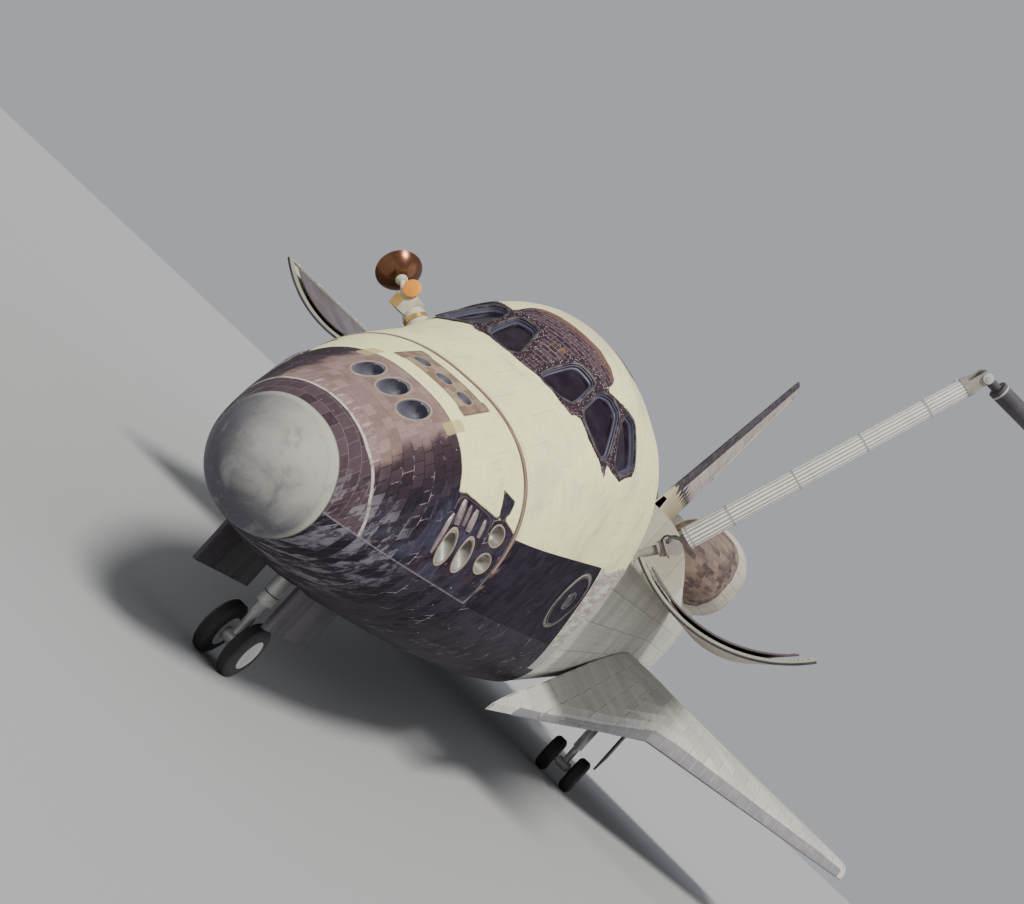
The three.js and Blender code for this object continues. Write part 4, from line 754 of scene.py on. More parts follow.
def module_paint(name):
    paint = Paint(name, roughness=0.66, Specular_IOR_Level=0.18)
    place = paint.place("flat")
    tile_tone, _ = paint.bricks(place, TILE, TILE, 0.004)
    colour, gap, height = tile_tones(
        paint, place, (0.01, 0.005, 0.011), (0.036, 0.02, 0.031), TILE, TILE, 0.004, 0.8,
    )
    tan, tan_gap, _ = tile_tones(
        paint, place, (0.18, 0.115, 0.105), (0.27, 0.185, 0.165), TILE, TILE, 0.003, 0.15,
    )
    tan = paint.mix(paint.times(tan_gap, 0.35), tan, (0.09, 0.055, 0.055))
    wobble = paint.swing(paint.noise(place, 1.6, 4), 0.5)
    wobble = paint.plus(wobble, paint.swing(tile_tone, 0.16))
    side = paint.plus(paint.value("side"), wobble)
    middle = paint.mix(paint.ramp(tile_tone, 0.0, 1.0), (0.045, 0.026, 0.034), (0.1, 0.062, 0.068))
    colour = paint.layers(
        colour,
        (paint.ramp(side, 1.35, 0.8, 0.0, 0.6), middle),
        (paint.ramp(side, 0.92, 0.72), tan),
        (paint.times(gap, paint.ramp(side, 0.7, 1.0)), (0.008, 0.005, 0.009)),
    )
    cool = paint.times(paint.ramp(paint.noise(place, 2.6, 5, 0.6), 0.42, 0.62), paint.ramp(side, 1.2, 1.9))
    colour = paint.mix(paint.times(cool, 0.5), colour, (0.045, 0.05, 0.085))
    # band between the cap and the light edge, with pale seams
    band = paint.ramp(paint.value("ahead"), -0.005, 0.012)
    band_tile, band_gap, _ = tile_tones(
        paint, place, (0.035, 0.021, 0.03), (0.08, 0.05, 0.06), 0.17, 0.14, 0.003, 0.55,
    )
    colour = paint.mix(band, colour, paint.mix(paint.times(band_gap, 0.5), band_tile, (0.24, 0.2, 0.2)))
    # streaks of wear behind the light edge, near the crown
    streak = paint.noise(paint.place("flat", scale=(11.0, 1.6, 1.0)), 2.0, 4, 0.7)
    near = paint.times(paint.ramp(paint.value("arc"), 0.34, 0.0), paint.ramp(side, 1.05, 0.6))
    near = paint.times(near, paint.rest(band))
    reach = paint.plus(streak, paint.times(near, 0.1))
    worn = paint.times(paint.ramp(reach, 0.58, 0.74), paint.ramp(near, 0.1, 0.8, 0.0, 0.75))
    colour = paint.mix(worn, colour, (0.42, 0.36, 0.32))
    broken = paint.ramp(paint.noise(place, 9, 3), 0.32, 0.5, 0.3, 1)
    line = paint.times(paint.ramp(paint.value("arc"), 0.022, 0.008), broken)
    colour = paint.mix(line, colour, (0.55, 0.52, 0.44))
    # scuffs on the chin beside the cap, tile by tile
    rub = paint.plus(paint.noise(place, 9.0, 8, 0.75), paint.times(tile_tone, 0.26))
    rubbed = paint.times(paint.ramp(rub, 0.64, 0.76), paint.ramp(paint.value("scuff"), 0.2, 0.6, 0.0, 0.8))
    colour = paint.mix(rubbed, colour, (0.2, 0.185, 0.21))
    streaky = paint.noise(paint.place("flat", scale=(1.0, 5.0, 1.0), turn=(0, 0, 0.6)), 3.0, 6, 0.7, 0.6)
    washed = paint.times(
        paint.ramp(streaky, 0.5, 0.66), paint.ramp(paint.value("jet_wash"), 0.1, 0.6, 0.0, 0.4),
    )
    colour = paint.mix(washed, colour, (0.12, 0.11, 0.17))
    worn_edge = paint.times(
        paint.ramp(paint.value("low_edge"), 0.03, 0.01), paint.ramp(streaky, 0.36, 0.5, 0.2, 0.8),
    )
    colour = paint.mix(worn_edge, colour, (0.21, 0.19, 0.21))
    # cream tiles aft of the front thrusters
    cream_tone, cream_gap = paint.bricks(place, 0.2, 0.2, 0.0025)
    stain = paint.noise(place, 1.6, 6, 0.62)
    drip = paint.noise(paint.place("flat", scale=(5.0, 0.6, 1.0)), 2.4, 5, 0.65)
    cream = paint.mix(paint.ramp(cream_tone, 0.0, 1.0, 0.0, 0.2), CREAM, CREAM_WORN)
    cream = paint.layers(
        cream,
        (paint.ramp(stain, 0.5, 0.72, 0.0, 0.45), (0.5, 0.42, 0.28)),
        (paint.ramp(drip, 0.56, 0.76, 0.0, 0.4), (0.42, 0.35, 0.25)),
        (paint.times(cream_gap, 0.4), (0.35, 0.31, 0.24)),
    )
    rough = paint.swing(paint.noise(place, 11, 3), 0.03)
    is_cream = paint.ramp(paint.plus(paint.value("cream"), rough), -0.004, 0.006)
    colour = paint.mix(is_cream, colour, cream)
    edge = paint.near("cream", 0.016, 0.004)
    colour = paint.mix(paint.times(edge, 0.5), colour, (0.12, 0.08, 0.065))
    # the brown panel round the upper thrusters
    inside = paint.ramp(paint.value("panel"), -0.004, 0.006)
    panel_tile, panel_gap, _ = tile_tones(
        paint, place, (0.19, 0.125, 0.09), (0.34, 0.25, 0.18), 0.16, 0.14, 0.003, 0.2,
    )
    colour = paint.mix(
        inside, colour, paint.mix(paint.times(panel_gap, 0.5), panel_tile, (0.08, 0.05, 0.04)),
    )
    rim = paint.near("panel", 0.02, 0.007)
    colour = paint.mix(paint.times(rim, 0.8), colour, (0.1, 0.06, 0.045))
    patch = paint.ramp(paint.plus(paint.value("patch"), rough), -0.01, 0.012)
    colour = paint.mix(paint.times(patch, 0.75), colour, (0.46, 0.39, 0.17))
    height = paint.minus(height, paint.times(rim, 0.8))
    return paint.finish(colour, height, 0.0035, 0.55)


def cabin_paint(name):
    paint = Paint(name, roughness=0.72, Specular_IOR_Level=0.18)
    place = paint.place("flat")
    tone, gap = paint.bricks(place, 0.2, 0.2, 0.002)
    sheet_tone, sheet_gap = paint.bricks(place, 0.82, 0.61, 0.006)
    stain = paint.noise(place, 0.8, 6, 0.6)
    fine = paint.noise(place, 12, 5, 0.6)
    drip = paint.noise(paint.place("flat", scale=(0.5, 4.0, 1.0)), 1.8, 5, 0.65)
    cream = paint.mix(paint.ramp(sheet_tone, 0.0, 1.0, 0.0, 0.3), CREAM, CREAM_WORN)
    cream = paint.layers(
        cream,
        (paint.ramp(tone, 0.5, 1.0, 0.0, 0.22), (0.6, 0.54, 0.38)),
        (paint.ramp(stain, 0.48, 0.68, 0.0, 0.5), (0.56, 0.51, 0.36)),
        (paint.ramp(drip, 0.55, 0.75, 0.0, 0.4), (0.45, 0.4, 0.3)),
        (paint.times(gap, 0.28), (0.3, 0.28, 0.24)),
        (paint.times(sheet_gap, 0.4), (0.24, 0.22, 0.2)),
    )
    # white blankets behind the black side, painted grey as shade where the side turns down, with long
    # streaks along their seams
    grey = paint.mix(
        paint.ramp(paint.noise(paint.place("flat", scale=(5, 0.7, 1)), 2, 5, 0.7), 0.42, 0.62),
        (0.24, 0.2, 0.24), (0.55, 0.53, 0.5),
    )
    colour = paint.mix(paint.times(paint.ramp(paint.value("behind"), -0.03, 0.05), 0.85), cream, grey)
    # black tiles of the side
    black, black_gap, _ = tile_tones(
        paint, place, (0.006, 0.0035, 0.009), (0.022, 0.014, 0.028), TILE, TILE, 0.004, 0.25,
    )
    black = paint.mix(black_gap, black, (0.004, 0.003, 0.005))
    is_black = paint.ramp(paint.value("black"), -0.004, 0.004)
    colour = paint.mix(is_black, colour, black)
    # speckled dark tiles round the windows, laid in fine courses
    speckle = paint.cells(place, 21.0)
    brow, brow_gap, _ = tile_tones(
        paint, place, (0.022, 0.01, 0.02), (0.075, 0.045, 0.055), 0.15, 0.062, 0.005, 0.5,
    )
    brow = paint.layers(
        brow,
        (paint.ramp(speckle, 0.2, 0.12, 0.0, 0.75), (0.34, 0.29, 0.31)),
        (paint.times(brow_gap, 0.75), (0.2, 0.14, 0.15)),
    )
    patchy = paint.times(
        paint.ramp(paint.noise(place, 1.9, 3), 0.56, 0.62), paint.ramp(paint.value("ochre"), 0.3, 0.6),
    )
    brow = paint.layers(
        brow,
        (paint.times(patchy, 0.6), (0.3, 0.18, 0.07)),
        (paint.ramp(paint.value("brow_rear"), 0.16, 0.02, 0.0, 0.6), (0.2, 0.1, 0.06)),
    )
    beads = paint.times(
        paint.ramp(paint.cells(place, 34.0), 0.3, 0.15), paint.ramp(paint.value("pane"), 0.15, 0.1),
    )
    brow = paint.layers(
        brow,
        (paint.ramp(paint.value("pane"), 0.14, 0.08, 0.0, 0.8), (0.02, 0.008, 0.016)),
        (paint.times(beads, 0.8), (0.5, 0.44, 0.42)),
    )
    ragged = paint.plus(paint.value("brow"), paint.swing(tone, 0.012))
    is_brow = paint.ramp(ragged, -0.004, 0.006)
    colour = paint.mix(is_brow, colour, brow)
    # grimy crown behind the windows
    crown = paint.times(
        paint.value("top"), paint.ramp(paint.noise(place, 1.2, 5, 0.6), 0.3, 0.7, 0.15, 0.75),
    )
    crown = paint.times(crown, paint.rest(is_brow))
    colour = paint.mix(paint.times(crown, 0.7), colour, (0.36, 0.3, 0.26))
    joint = paint.ramp(paint.value("module_end"), 0.16, 0.02)
    smear = paint.times(joint, paint.ramp(paint.noise(place, 4.0, 4, 0.6), 0.45, 0.65, 0.0, 0.6))
    colour = paint.mix(smear, colour, (0.42, 0.29, 0.2))
    ring = paint.near("hatch", 0.03, 0.012)
    colour = paint.mix(paint.times(ring, 0.8), colour, (0.42, 0.38, 0.32))
    height = paint.minus(paint.times(fine, 0.25), paint.plus(gap, paint.times(brow_gap, is_brow)))
    return paint.finish(colour, height, 0.0025, 0.45)


def cap_paint(name):
    """Grey carbon with soft clouds and painted shade: darker to starboard and low down, lighter to port and
    towards its upper rim.
    """
    paint = Paint(name, roughness=0.66, Specular_IOR_Level=0.3)
    place = paint.place()
    cloud = paint.noise(place, 0.9, 5, 0.55, 0.5)
    soft = paint.noise(place, 2.3, 6, 0.6, 0.8)
    fine = paint.noise(place, 30, 4, 0.6)
    # painted shade: the shade value darkens the carbon to starboard and low down, and lightens it to port
    # and high up
    bright = paint.plus(paint.value("shade"), paint.swing(cloud, 1.5))
    colour = paint.mix(paint.ramp(bright, -0.5, 0.85), (0.068, 0.066, 0.088), (0.36, 0.352, 0.31))
    colour = paint.layers(
        colour,
        (paint.ramp(soft, 0.5, 0.68, 0.0, 0.4), (0.33, 0.32, 0.32)),
        (paint.ramp(soft, 0.49, 0.33, 0.0, 0.55), (0.075, 0.07, 0.09)),
        (paint.ramp(fine, 0.5, 0.75, 0.0, 0.12), (0.4, 0.39, 0.34)),
    )
    rim = paint.value("rim")
    seam = paint.ramp(paint.math("ABSOLUTE", paint.minus(rim, 0.11)), 0.006, 0.002)
    colour = paint.mix(paint.times(seam, 0.2), colour, (0.1, 0.1, 0.1))
    # a pale lip along the rim, made stronger on the lit side by the painted shade, as painted light
    lip = paint.times(paint.ramp(rim, 0.1, 0.03), paint.ramp(paint.value("shade"), -0.3, 0.5, 0.1, 0.6))
    colour = paint.layers(
        colour,
        (lip, (0.42, 0.42, 0.33)),
        (paint.ramp(rim, 0.012, 0.004, 0.0, 0.7), (0.06, 0.05, 0.05)),
    )
    height = paint.minus(paint.times(fine, 0.3), seam)
    return paint.finish(colour, height, 0.0015, 0.3, paint.ramp(cloud, 0.3, 0.7, 0.55, 0.75))


def lower_paint(name):
    paint = Paint(name, roughness=0.6, Specular_IOR_Level=0.18)
    place = paint.place("flat")
    tone, _ = paint.bricks(place, TILE, TILE, 0.004)
    colour, gap, height = tile_tones(
        paint, place, (0.007, 0.004, 0.01), (0.028, 0.019, 0.034), TILE, TILE, 0.004, 0.8,
    )
    rub = paint.plus(paint.noise(place, 9.0, 8, 0.75), paint.times(tone, 0.26))
    scuff = paint.times(paint.ramp(rub, 0.62, 0.76), paint.ramp(paint.value("scuff"), 0.15, 0.6, 0.0, 0.8))
    colour = paint.layers(
        colour,
        (scuff, (0.19, 0.175, 0.2)),
        (paint.times(gap, 0.5), (0.07, 0.06, 0.075)),
    )
    # white tiles aft of the black side, painted grey as shade
    white = paint.ramp(paint.value("fold"), -0.004, 0.004)
    colour = paint.mix(white, colour, (0.4, 0.37, 0.36))
    return paint.finish(colour, height, 0.004, 0.6)


def lower_values(points):
    x, y, z = points.T
    values = module_values(points)
    behind = y - black_side_end(z)
    return {"scuff": values["scuff"], "fold": np.minimum(behind, z - 900) / 1000}


CAP_PAINT = cap_paint("nose_cap_carbon")
MODULE_PAINT = module_paint("module_tiles")
CABIN_PAINT = cabin_paint("cabin_tiles")
LOWER_PAINT = lower_paint("belly_tiles")
DARK_METAL = worn_metal("dark_metal", (0.1, 0.085, 0.095), 0.45, 0.5, 9, (0.03, 0.025, 0.03), 0.6)
JET_METAL = worn_metal("jet_metal", (0.17, 0.17, 0.21), 0.42, 0.4, 5, (0.06, 0.05, 0.065), 0.8)
SILVER = worn_metal("side_jet_metal", (0.36, 0.345, 0.31), 0.38, 0.5, 6, (0.13, 0.1, 0.09), 0.85)
FAIRING = worn_metal("jet_fairings", (0.34, 0.27, 0.26), 0.4, 0.5, 9, (0.045, 0.025, 0.03), 0.9)
RIM_METAL = worn_metal("jet_rims", (0.42, 0.33, 0.24), 0.5, 0.3, 12, (0.12, 0.08, 0.06), 0.5)
FRAME_METAL = worn_metal("window_frames", (0.035, 0.022, 0.03), 0.45, 0.2, 22, (0.3, 0.26, 0.25), 0.4)
BEVEL = worn_metal("window_bevels", (0.085, 0.085, 0.13), 0.4, 0.2, 8, (0.03, 0.02, 0.035), 0.6)
SEAL = coated("seal", (0.12, 0.062, 0.055), 0.65, (0.3, 0.19, 0.15), 0.6)
INTERIOR = coated("interior", (0.05, 0.055, 0.05), 0.7, (0.02, 0.02, 0.02), 0.5)


def glass_paint():
    paint = Paint("dark_glass", roughness=0.05, metallic=0.0, IOR=1.35)
    place = paint.place()
    haze = paint.noise(place, 3.5, 4, 0.5)
    colour = paint.mix(paint.ramp(haze, 0.4, 0.75, 0.0, 0.5), (0.012, 0.005, 0.012), (0.04, 0.03, 0.045))
    return paint.finish(colour, haze, 0.0006, 0.08, paint.ramp(haze, 0.35, 0.7, 0.04, 0.12))


GLASS = glass_paint()


# ---------------------------------------------------------------- outlines laid on the skin

def unchart(flat):
    """Skin points for (distance from the crown, station)."""
    flat = np.asarray(flat, float)
    y = np.clip(flat[:, 1], 2, BAY_START)
    s = np.sqrt(y) / ROOTS[-1] * (len(ROOTS) - 1)
    i = np.minimum(s.astype(int), len(ROOTS) - 2)
    u = (s - i)[:, None]
    rows = ARCS[i] * (1 - u) + ARCS[i + 1] * u
    t = np.array([np.interp(abs(a), row, TURNS) for a, row in zip(flat[:, 0], rows)])
    return surface(y, np.where(flat[:, 0] < 0, -t, t))


def rounded(polygon, times=2, share=0.2):
    p = np.asarray(polygon, float)
    for _ in range(times):
        q = np.roll(p, -1, axis=0)
        p = np.stack([p + (q - p) * share, q - (q - p) * share], 1).reshape(-1, p.shape[1])
    return p


def evenly(polygon, length):
    """Points at even steps round a closed outline."""
    p = np.asarray(polygon, float)
    q = np.vstack([p, p[:1]])
    steps = np.linalg.norm(np.diff(q, axis=0), axis=1)
    total = np.concatenate([[0], np.cumsum(steps)])
    count = max(int(total[-1] / length), 12)
    at = np.linspace(0, total[-1], count, endpoint=False)
    return np.stack([np.interp(at, total, q[:, k]) for k in range(p.shape[1])], 1)


def grown(polygon, distance):
    """A closed outline in the plane, moved outward by a distance."""
    p = np.asarray(polygon, float)
    before, after = np.roll(p, 1, axis=0), np.roll(p, -1, axis=0)
    d = after - before
    normal = np.stack([d[:, 1], -d[:, 0]], 1)
    normal /= np.maximum(np.linalg.norm(normal, axis=1, keepdims=True), 1e-9)
    area = np.sum(p[:, 0] * after[:, 1] - p[:, 1] * after[:, 0])
    return p + normal * distance * (1 if area > 0 else -1)


def frame_round(outline, profile):
    """A frame round an outline on the skin; profile rows are (outward, above the skin)."""
    return looped([on_skin(unchart(grown(outline, g)), h) for g, h in profile])


def plug(outline, high, low, grow=0.0):
    ring = unchart(grown(outline, grow) if grow else outline)
    return rings_mesh([on_skin(ring, high), on_skin(ring, low)])


def at_top(x, y):
    """The skin point above a place (x, y)."""
    _, belt, crown, half, upper, _ = [c[0] for c in section(np.array([float(y)]))]
    return (x, y, float(belt + (crown - belt) * (1 - (abs(x) / half) ** upper) ** (1 / upper)))


def at_side(y, z, side=1):
    """The skin point beside a place (y, z)."""
    bottom, belt, crown, half, upper, lower = [c[0] for c in section(np.array([float(y)]))]
    power, height = (upper, crown - belt) if z >= belt else (lower, belt - bottom)
    return (side * half * (1 - (abs(z - belt) / height) ** power) ** (1 / power), y, z)


def cylinder(origin, direction, radius, low, high, sides=48):
    return lathe_mesh([(radius, low), (radius, high)], origin, direction, sides)


def split_by_depth(mesh, limit):
    """Faces deeper than a limit below the skin take the second material."""
    centres = np.array([tuple(p.center) for p in mesh.polygons]) * 1000
    depth = np.linalg.norm(centres - on_skin(centres), axis=1)
    mesh.polygons.foreach_set("material_index", ((depth > limit) & (centres[:, 1] > 30)).astype(np.int32))


def skin_piece(name, y0, y1, cuts, depth, cutters, materials, values, slot, replaces, limit=7.0):
    """A shell of the forward skin between planes, with holes, and a second material inside."""
    bm = skin_grid(y0, y1)
    for point, normal in cuts:
        keep_side(bm, point, normal)
    solid = thickened(*from_bmesh(bm), depth)
    mesh = carved(solid, cutters) if cutters else mesh_data(name, *solid)
    split_by_depth(mesh, limit)
    index = np.empty(len(mesh.polygons), np.int32)
    mesh.polygons.foreach_get("material_index", index)
    piece = dress(name, mesh, materials, "orbiter", 30, slot, replaces, skin_flat, values)
    piece.data.polygons.foreach_set("material_index", index)
    return piece


# Thruster wells: centre, radius, direction out of the skin
FORWARD_JETS = [((k * 372, 1796, 2870 if k else 2908), 150, (0.03 * k, -1, 0.03)) for k in (1, 0, -1)]
UPPER_JETS = [((k * 366, 2919, 3390 if k else 3417), 120, (0.05 * k, 0, 1)) for k in (1, 0, -1)]
SIDE_JETS = [
    ((1765, 3217, 2381), 135, (1, 0, 0.1)), ((1820, 3269, 2013), 135, (1, 0, -0.05)),
    ((1560, 2480, 1930), 130, (0.67, 0, -0.74)), ((1682, 2846, 1975), 130, (0.67, 0, -0.74)),
]
JETS = FORWARD_JETS + UPPER_JETS
for (x, y, z), r, (dx, dy, dz) in SIDE_JETS:
    JETS += [((x, y, z), r, (dx, dy, dz)), ((-x, y, z), r, (-dx, dy, dz))]

OUTLINES = {}
for key, corners in WINDOWS.items():
    flat = evenly(rounded(chart(corners), 3, 0.16), 28)
    OUTLINES[key + "_port"] = flat
    OUTLINES[key + "_starboard"] = flat * (-1, 1)
for side, word in SIDES:
    square = [at_top(side * 520 + a * 255, 7350 + b * 255) for a, b in ((-1, -1), (1, -1), (1, 1), (-1, 1))]
    OUTLINES["overhead_" + word] = evenly(rounded(chart(square), 3, 0.12), 28)


def hatch_circle(radius, count):
    """A circle about the crew hatch's centre, on the chart."""
    return chart(
        [at_side(HATCH_Y + radius * math.cos(a), HATCH_Z + radius * math.sin(a)) for a in circle(count)]
    )


HATCH_LINE = hatch_circle(HATCH_RADIUS, 72)


def cap_values(points):
    return {
        "rim": (CAP_POINT.dot(CAP_NORMAL) - points @ np.array(CAP_NORMAL)) / 1000,
        # shade is a painted light gradient: lighter to port and upward, darker to starboard and downward
        "shade": (0.5 * points[:, 0] + 0.6 * (points[:, 2] - 1448)) / 700,
    }


skin_piece(
    "nose_cap_skin", 0, 900, [(CAP_POINT, CAP_NORMAL)], 60, (), [CAP_PAINT, DARK_METAL], cap_values,
    "nose_cap_carbon", "nose_cap",
)
skin_piece(
    "forward_module_skin", 500, 3700,
    [BEHIND_CAP, (MODULE_POINT, MODULE_NORMAL), ABOVE_SPLIT],
    330, [cylinder(o, d, r, -420, 500) for o, r, d in JETS], [MODULE_PAINT, JET_METAL], module_values,
    "module_brown_tile", "forward_module", limit=9,
)
skin_piece(
    "lower_fuselage_skin", 500, BAY_START, [BEHIND_CAP, (V(0, 0, SPLIT - 1), V(0, 0, 1))],
    150, [box_mesh((-WELL_HALF, WELL_FRONT, -500), (WELL_HALF, WELL_REAR, 1300))],
    [LOWER_PAINT, DARK_METAL], lower_values,
    "black_tile", "lower_forward_fuselage",
)
skin_piece(
    "cabin_skin", 3400, BAY_START,
    [(MODULE_POINT + MODULE_NORMAL * 2 * SEAM, -MODULE_NORMAL), ABOVE_SPLIT],
    110, [plug(line, 200, -300) for line in OUTLINES.values()] + [plug(HATCH_LINE, 200, -300, 11)],
    [CABIN_PAINT, INTERIOR], cabin_values, "cabin_blanket", "cabin_shell",
)
hatch_ring = grown(HATCH_LINE, -2)
hatch_centre = hatch_ring.mean(0)
hatch_rings = [
    on_skin(unchart(hatch_centre + (hatch_ring - hatch_centre) * k))
    for k in np.linspace(1, 0.05, 14)
]
hatch_inner = [on_skin(r, -70) for r in hatch_rings]
build(
    "crew_hatch_panel", *rings_mesh([*reversed(hatch_rings), *hatch_inner]), CABIN_PAINT, "crew_hatch", 30,
    "cabin_blanket", "crew_hatch", skin_flat, cabin_values,
)
hatch_bits = [frame_round(HATCH_LINE, [(-64, -4), (-62, 10), (-30, 12), (-26, -4)])]
port_light = hatch_circle(130, 40)
hatch_bits.append(frame_round(port_light, [(0, -8), (0, 14), (46, 14), (52, -8)]))
build("crew_hatch_rings", *merged(*hatch_bits), FRAME_METAL, "crew_hatch")
build("crew_hatch_window", *plug(port_light, 5, -20, 4), GLASS, "crew_hatch")

# Frame sections: rows of (outward from the outline, above the skin)
PANE_RIM = [(34, -6), (32, 9), (20, 13), (2, 12), (-8, 4), (-8, -20), (16, -22)]
PANE_BEVEL = [(-4, -16), (-18, -22), (-22, -60), (-40, -66), (-46, -88), (16, -96), (16, -20)]
OVERHEAD_RIM = [(60, -6), (58, 10), (6, 14), (-12, -46), (16, -60)]
for side, word in SIDES:
    panes = [plug(OUTLINES[f"{k}_{word}"], -84, -106, 20) for k in WINDOWS]
    build(
        f"windshield_panes_{word}", *merged(*panes), GLASS, slot="window_glass",
        replaces=f"windshield_{word}",
    )
    for piece, profile, material in (("frames", PANE_RIM, FRAME_METAL), ("bevels", PANE_BEVEL, BEVEL)):
        rounds = [frame_round(OUTLINES[f"{k}_{word}"], profile) for k in WINDOWS]
        build(f"window_{piece}_{word}", *merged(*rounds), material)
build(
    "overhead_panes", *merged(*[plug(OUTLINES["overhead_" + w], -40, -64, 20) for _, w in SIDES]), GLASS,
    slot="window_glass", replaces="overhead_window",
)
overhead_rims = [frame_round(OUTLINES["overhead_" + w], OVERHEAD_RIM) for _, w in SIDES]
build("overhead_frames", *merged(*overhead_rims), FRAME_METAL)


def outside(points):
    """Positive outside the skin, negative inside."""
    x, y, z = np.asarray(points, float).T
    bottom, belt, crown, half, upper, lower = section(y)
    power = np.where(z >= belt, upper, lower)
    height = np.where(z >= belt, crown - belt, belt - bottom)
    return (np.abs(x) / half) ** power + (np.abs(z - belt) / height) ** power - 1


def slid_to_skin(points, direction, low=-500.0, high=500.0):
    """Points moved along a direction until they lie on the skin."""
    p, d = np.asarray(points, float), np.array(Vector(direction).normalized())
    low, high = np.full(len(p), low), np.full(len(p), high)
    for _ in range(30):
        middle = (low + high) / 2
        inside = outside(p + d * middle[:, None]) < 0
        low, high = np.where(inside, middle, low), np.where(inside, high, middle)
    return p + d * low[:, None]


def scarfed(mesh, direction, depth=5.0):
    """A mesh whose points above the skin are drawn back along a direction to just below it."""
    points, faces = mesh
    points = np.asarray(points, float)
    above = outside(points) > 0
    back = np.array(Vector(direction).normalized()) * depth
    points[above] = slid_to_skin(points[above], direction, -900, 0) - back
    return points, faces


def skin_circle(origin, direction, radius, count=64, offset=0.0):
    """Where a cylinder meets the skin."""
    d, a, b = axes_of(direction)
    ring = [tuple(Vector(origin) + (a * math.cos(k) + b * math.sin(k)) * radius) for k in circle(count)]
    return on_skin(slid_to_skin(ring, direction), offset)


front_bells, side_bells = [], []
for o, r, d in JETS:
    low = -150 if abs(d[1]) > 0.9 else -90 if abs(d[2]) > 0.5 and abs(o[0]) > 1000 else -0.15 * r
    bell = [
        (r - 3, 400), (r - 3, low), (r - 3, low - 1.3 * r), (1, low - 1.3 * r), (1, low - 1.15 * r),
        (0.3 * r, low - 1.1 * r), (0.55 * r, low - 0.85 * r), (0.8 * r, low - 0.45 * r),
        (0.9 * r, low - 0.2 * r), (r - 12, low), (r - 12, 400),
    ]
    target = side_bells if abs(o[0]) > 1000 else front_bells
    target.append(scarfed(lathe_mesh(bell, o, d, 64, True), d))
build("jet_nozzles", *merged(*front_bells), JET_METAL, slot="nozzle_metal")
build("side_jet_nozzles", *merged(*side_bells), SILVER)

rims = []
for o, r, d in JETS:
    line = [skin_circle(o, d, r + g, 64, h) for g, h in ((-2, -14), (-2, 6), (14, 8), (19, -8))]
    rims.append(looped(line))
build("jet_rims", *merged(*rims), RIM_METAL)

# Raised fairings above the front side thrusters: paths on the skin with a radius at each point
RIDGES = [
    [(1519, 2300, 1772, 22), (1487, 2270, 1956, 40), (1448, 2262, 2138, 46), (1417, 2290, 2288, 24)],
    [(1504, 2405, 2200, 52), (1462, 2392, 2299, 66), (1417, 2395, 2417, 60), (1383, 2412, 2490, 34)],
    [(1603, 2660, 2215, 52), (1566, 2650, 2300, 66), (1534, 2655, 2406, 60), (1503, 2672, 2485, 34)],
    [(1700, 2900, 2235, 30), (1680, 2890, 2309, 44), (1655, 2885, 2393, 42), (1630, 2880, 2465, 24)],
    [(1545, 2530, 2235, 26), (1505, 2528, 2320, 40), (1470, 2530, 2410, 38), (1440, 2540, 2480, 20)],
]
RIDGE_BORDER = [
    (1395, 2262, 2330, 9), (1358, 2280, 2441, 11), (1356, 2342, 2496, 11), (1377, 2413, 2518, 11),
    (1436, 2539, 2522, 11), (1509, 2697, 2522, 11), (1583, 2863, 2516, 11), (1622, 2937, 2498, 11),
    (1661, 2990, 2445, 11), (1690, 3010, 2340, 9),
]


def on_skin_tube(rows, sides=16, offset=0.0):
    """A round ridge half sunk in the skin, smoothed through its rows."""
    rows = np.asarray(rows, float)
    at = np.linspace(0, len(rows) - 1, (len(rows) - 1) * 8 + 1)
    fine = smooth_table(np.column_stack([np.arange(len(rows)), rows]), at)
    path = on_skin(fine[:, :3], fine[:, 3] * offset)
    return tube_mesh([tuple(q) for q in path], list(fine[:, 3]), sides)


fairings = [on_skin_tube(rows, sides=24, offset=-0.45) for rows in RIDGES]
border = on_skin_tube(RIDGE_BORDER)
build("side_jet_fairings", *merged(*fairings, *[mirrored(f) for f in fairings]), FAIRING)
build("side_jet_border", *merged(border, mirrored(border)), DARK_METAL)


def seam_path(point, normal, offset, turns):
    """A path on the skin where a leaning plane cuts it, at angles from the crown."""
    path = []
    lean = normal.z / normal.y
    for t in turns:
        y = point.y
        for _ in range(20):
            z = surface(np.array([y]), np.array([t]))[0, 2]
            y = point.y - lean * (z - point.z)
        p = surface(np.array([y]), np.array([t]))[0]
        path.append(tuple(on_skin([p], offset)[0]))
    return path


def seam_band(point, normal, profile, reach=1.5, count=150):
    """A raised strip along a seam; profile rows are (aft of the seam, above the skin)."""
    turns = np.linspace(-reach, reach, count)
    lines = [seam_path(point + V(0, g, 0), normal, h, turns) for g, h in profile]
    return rings_mesh([list(ring) for ring in zip(*lines)])


seam_middle = MODULE_POINT + V(0, SEAM, 0)
for name, profile, material in (
    ("module_seal", [(-46, -5), (-40, 6), (40, 6), (46, -5)], SEAL),
    ("module_seal_bead", [(-9, 3), (-5, 12), (5, 12), (9, 3)], RIM_METAL),
):
    build(name, *seam_band(seam_middle, MODULE_NORMAL, profile), material)
build(
    "cap_seal",
    *tube_mesh(seam_path(CAP_POINT + V(0, 2, 0), CAP_NORMAL, -8, np.linspace(-3.1, 3.1, 200)), 9, 12),
    DARK_METAL,
)


# ---------------------------------------------------------------- materials that follow the body's own axes

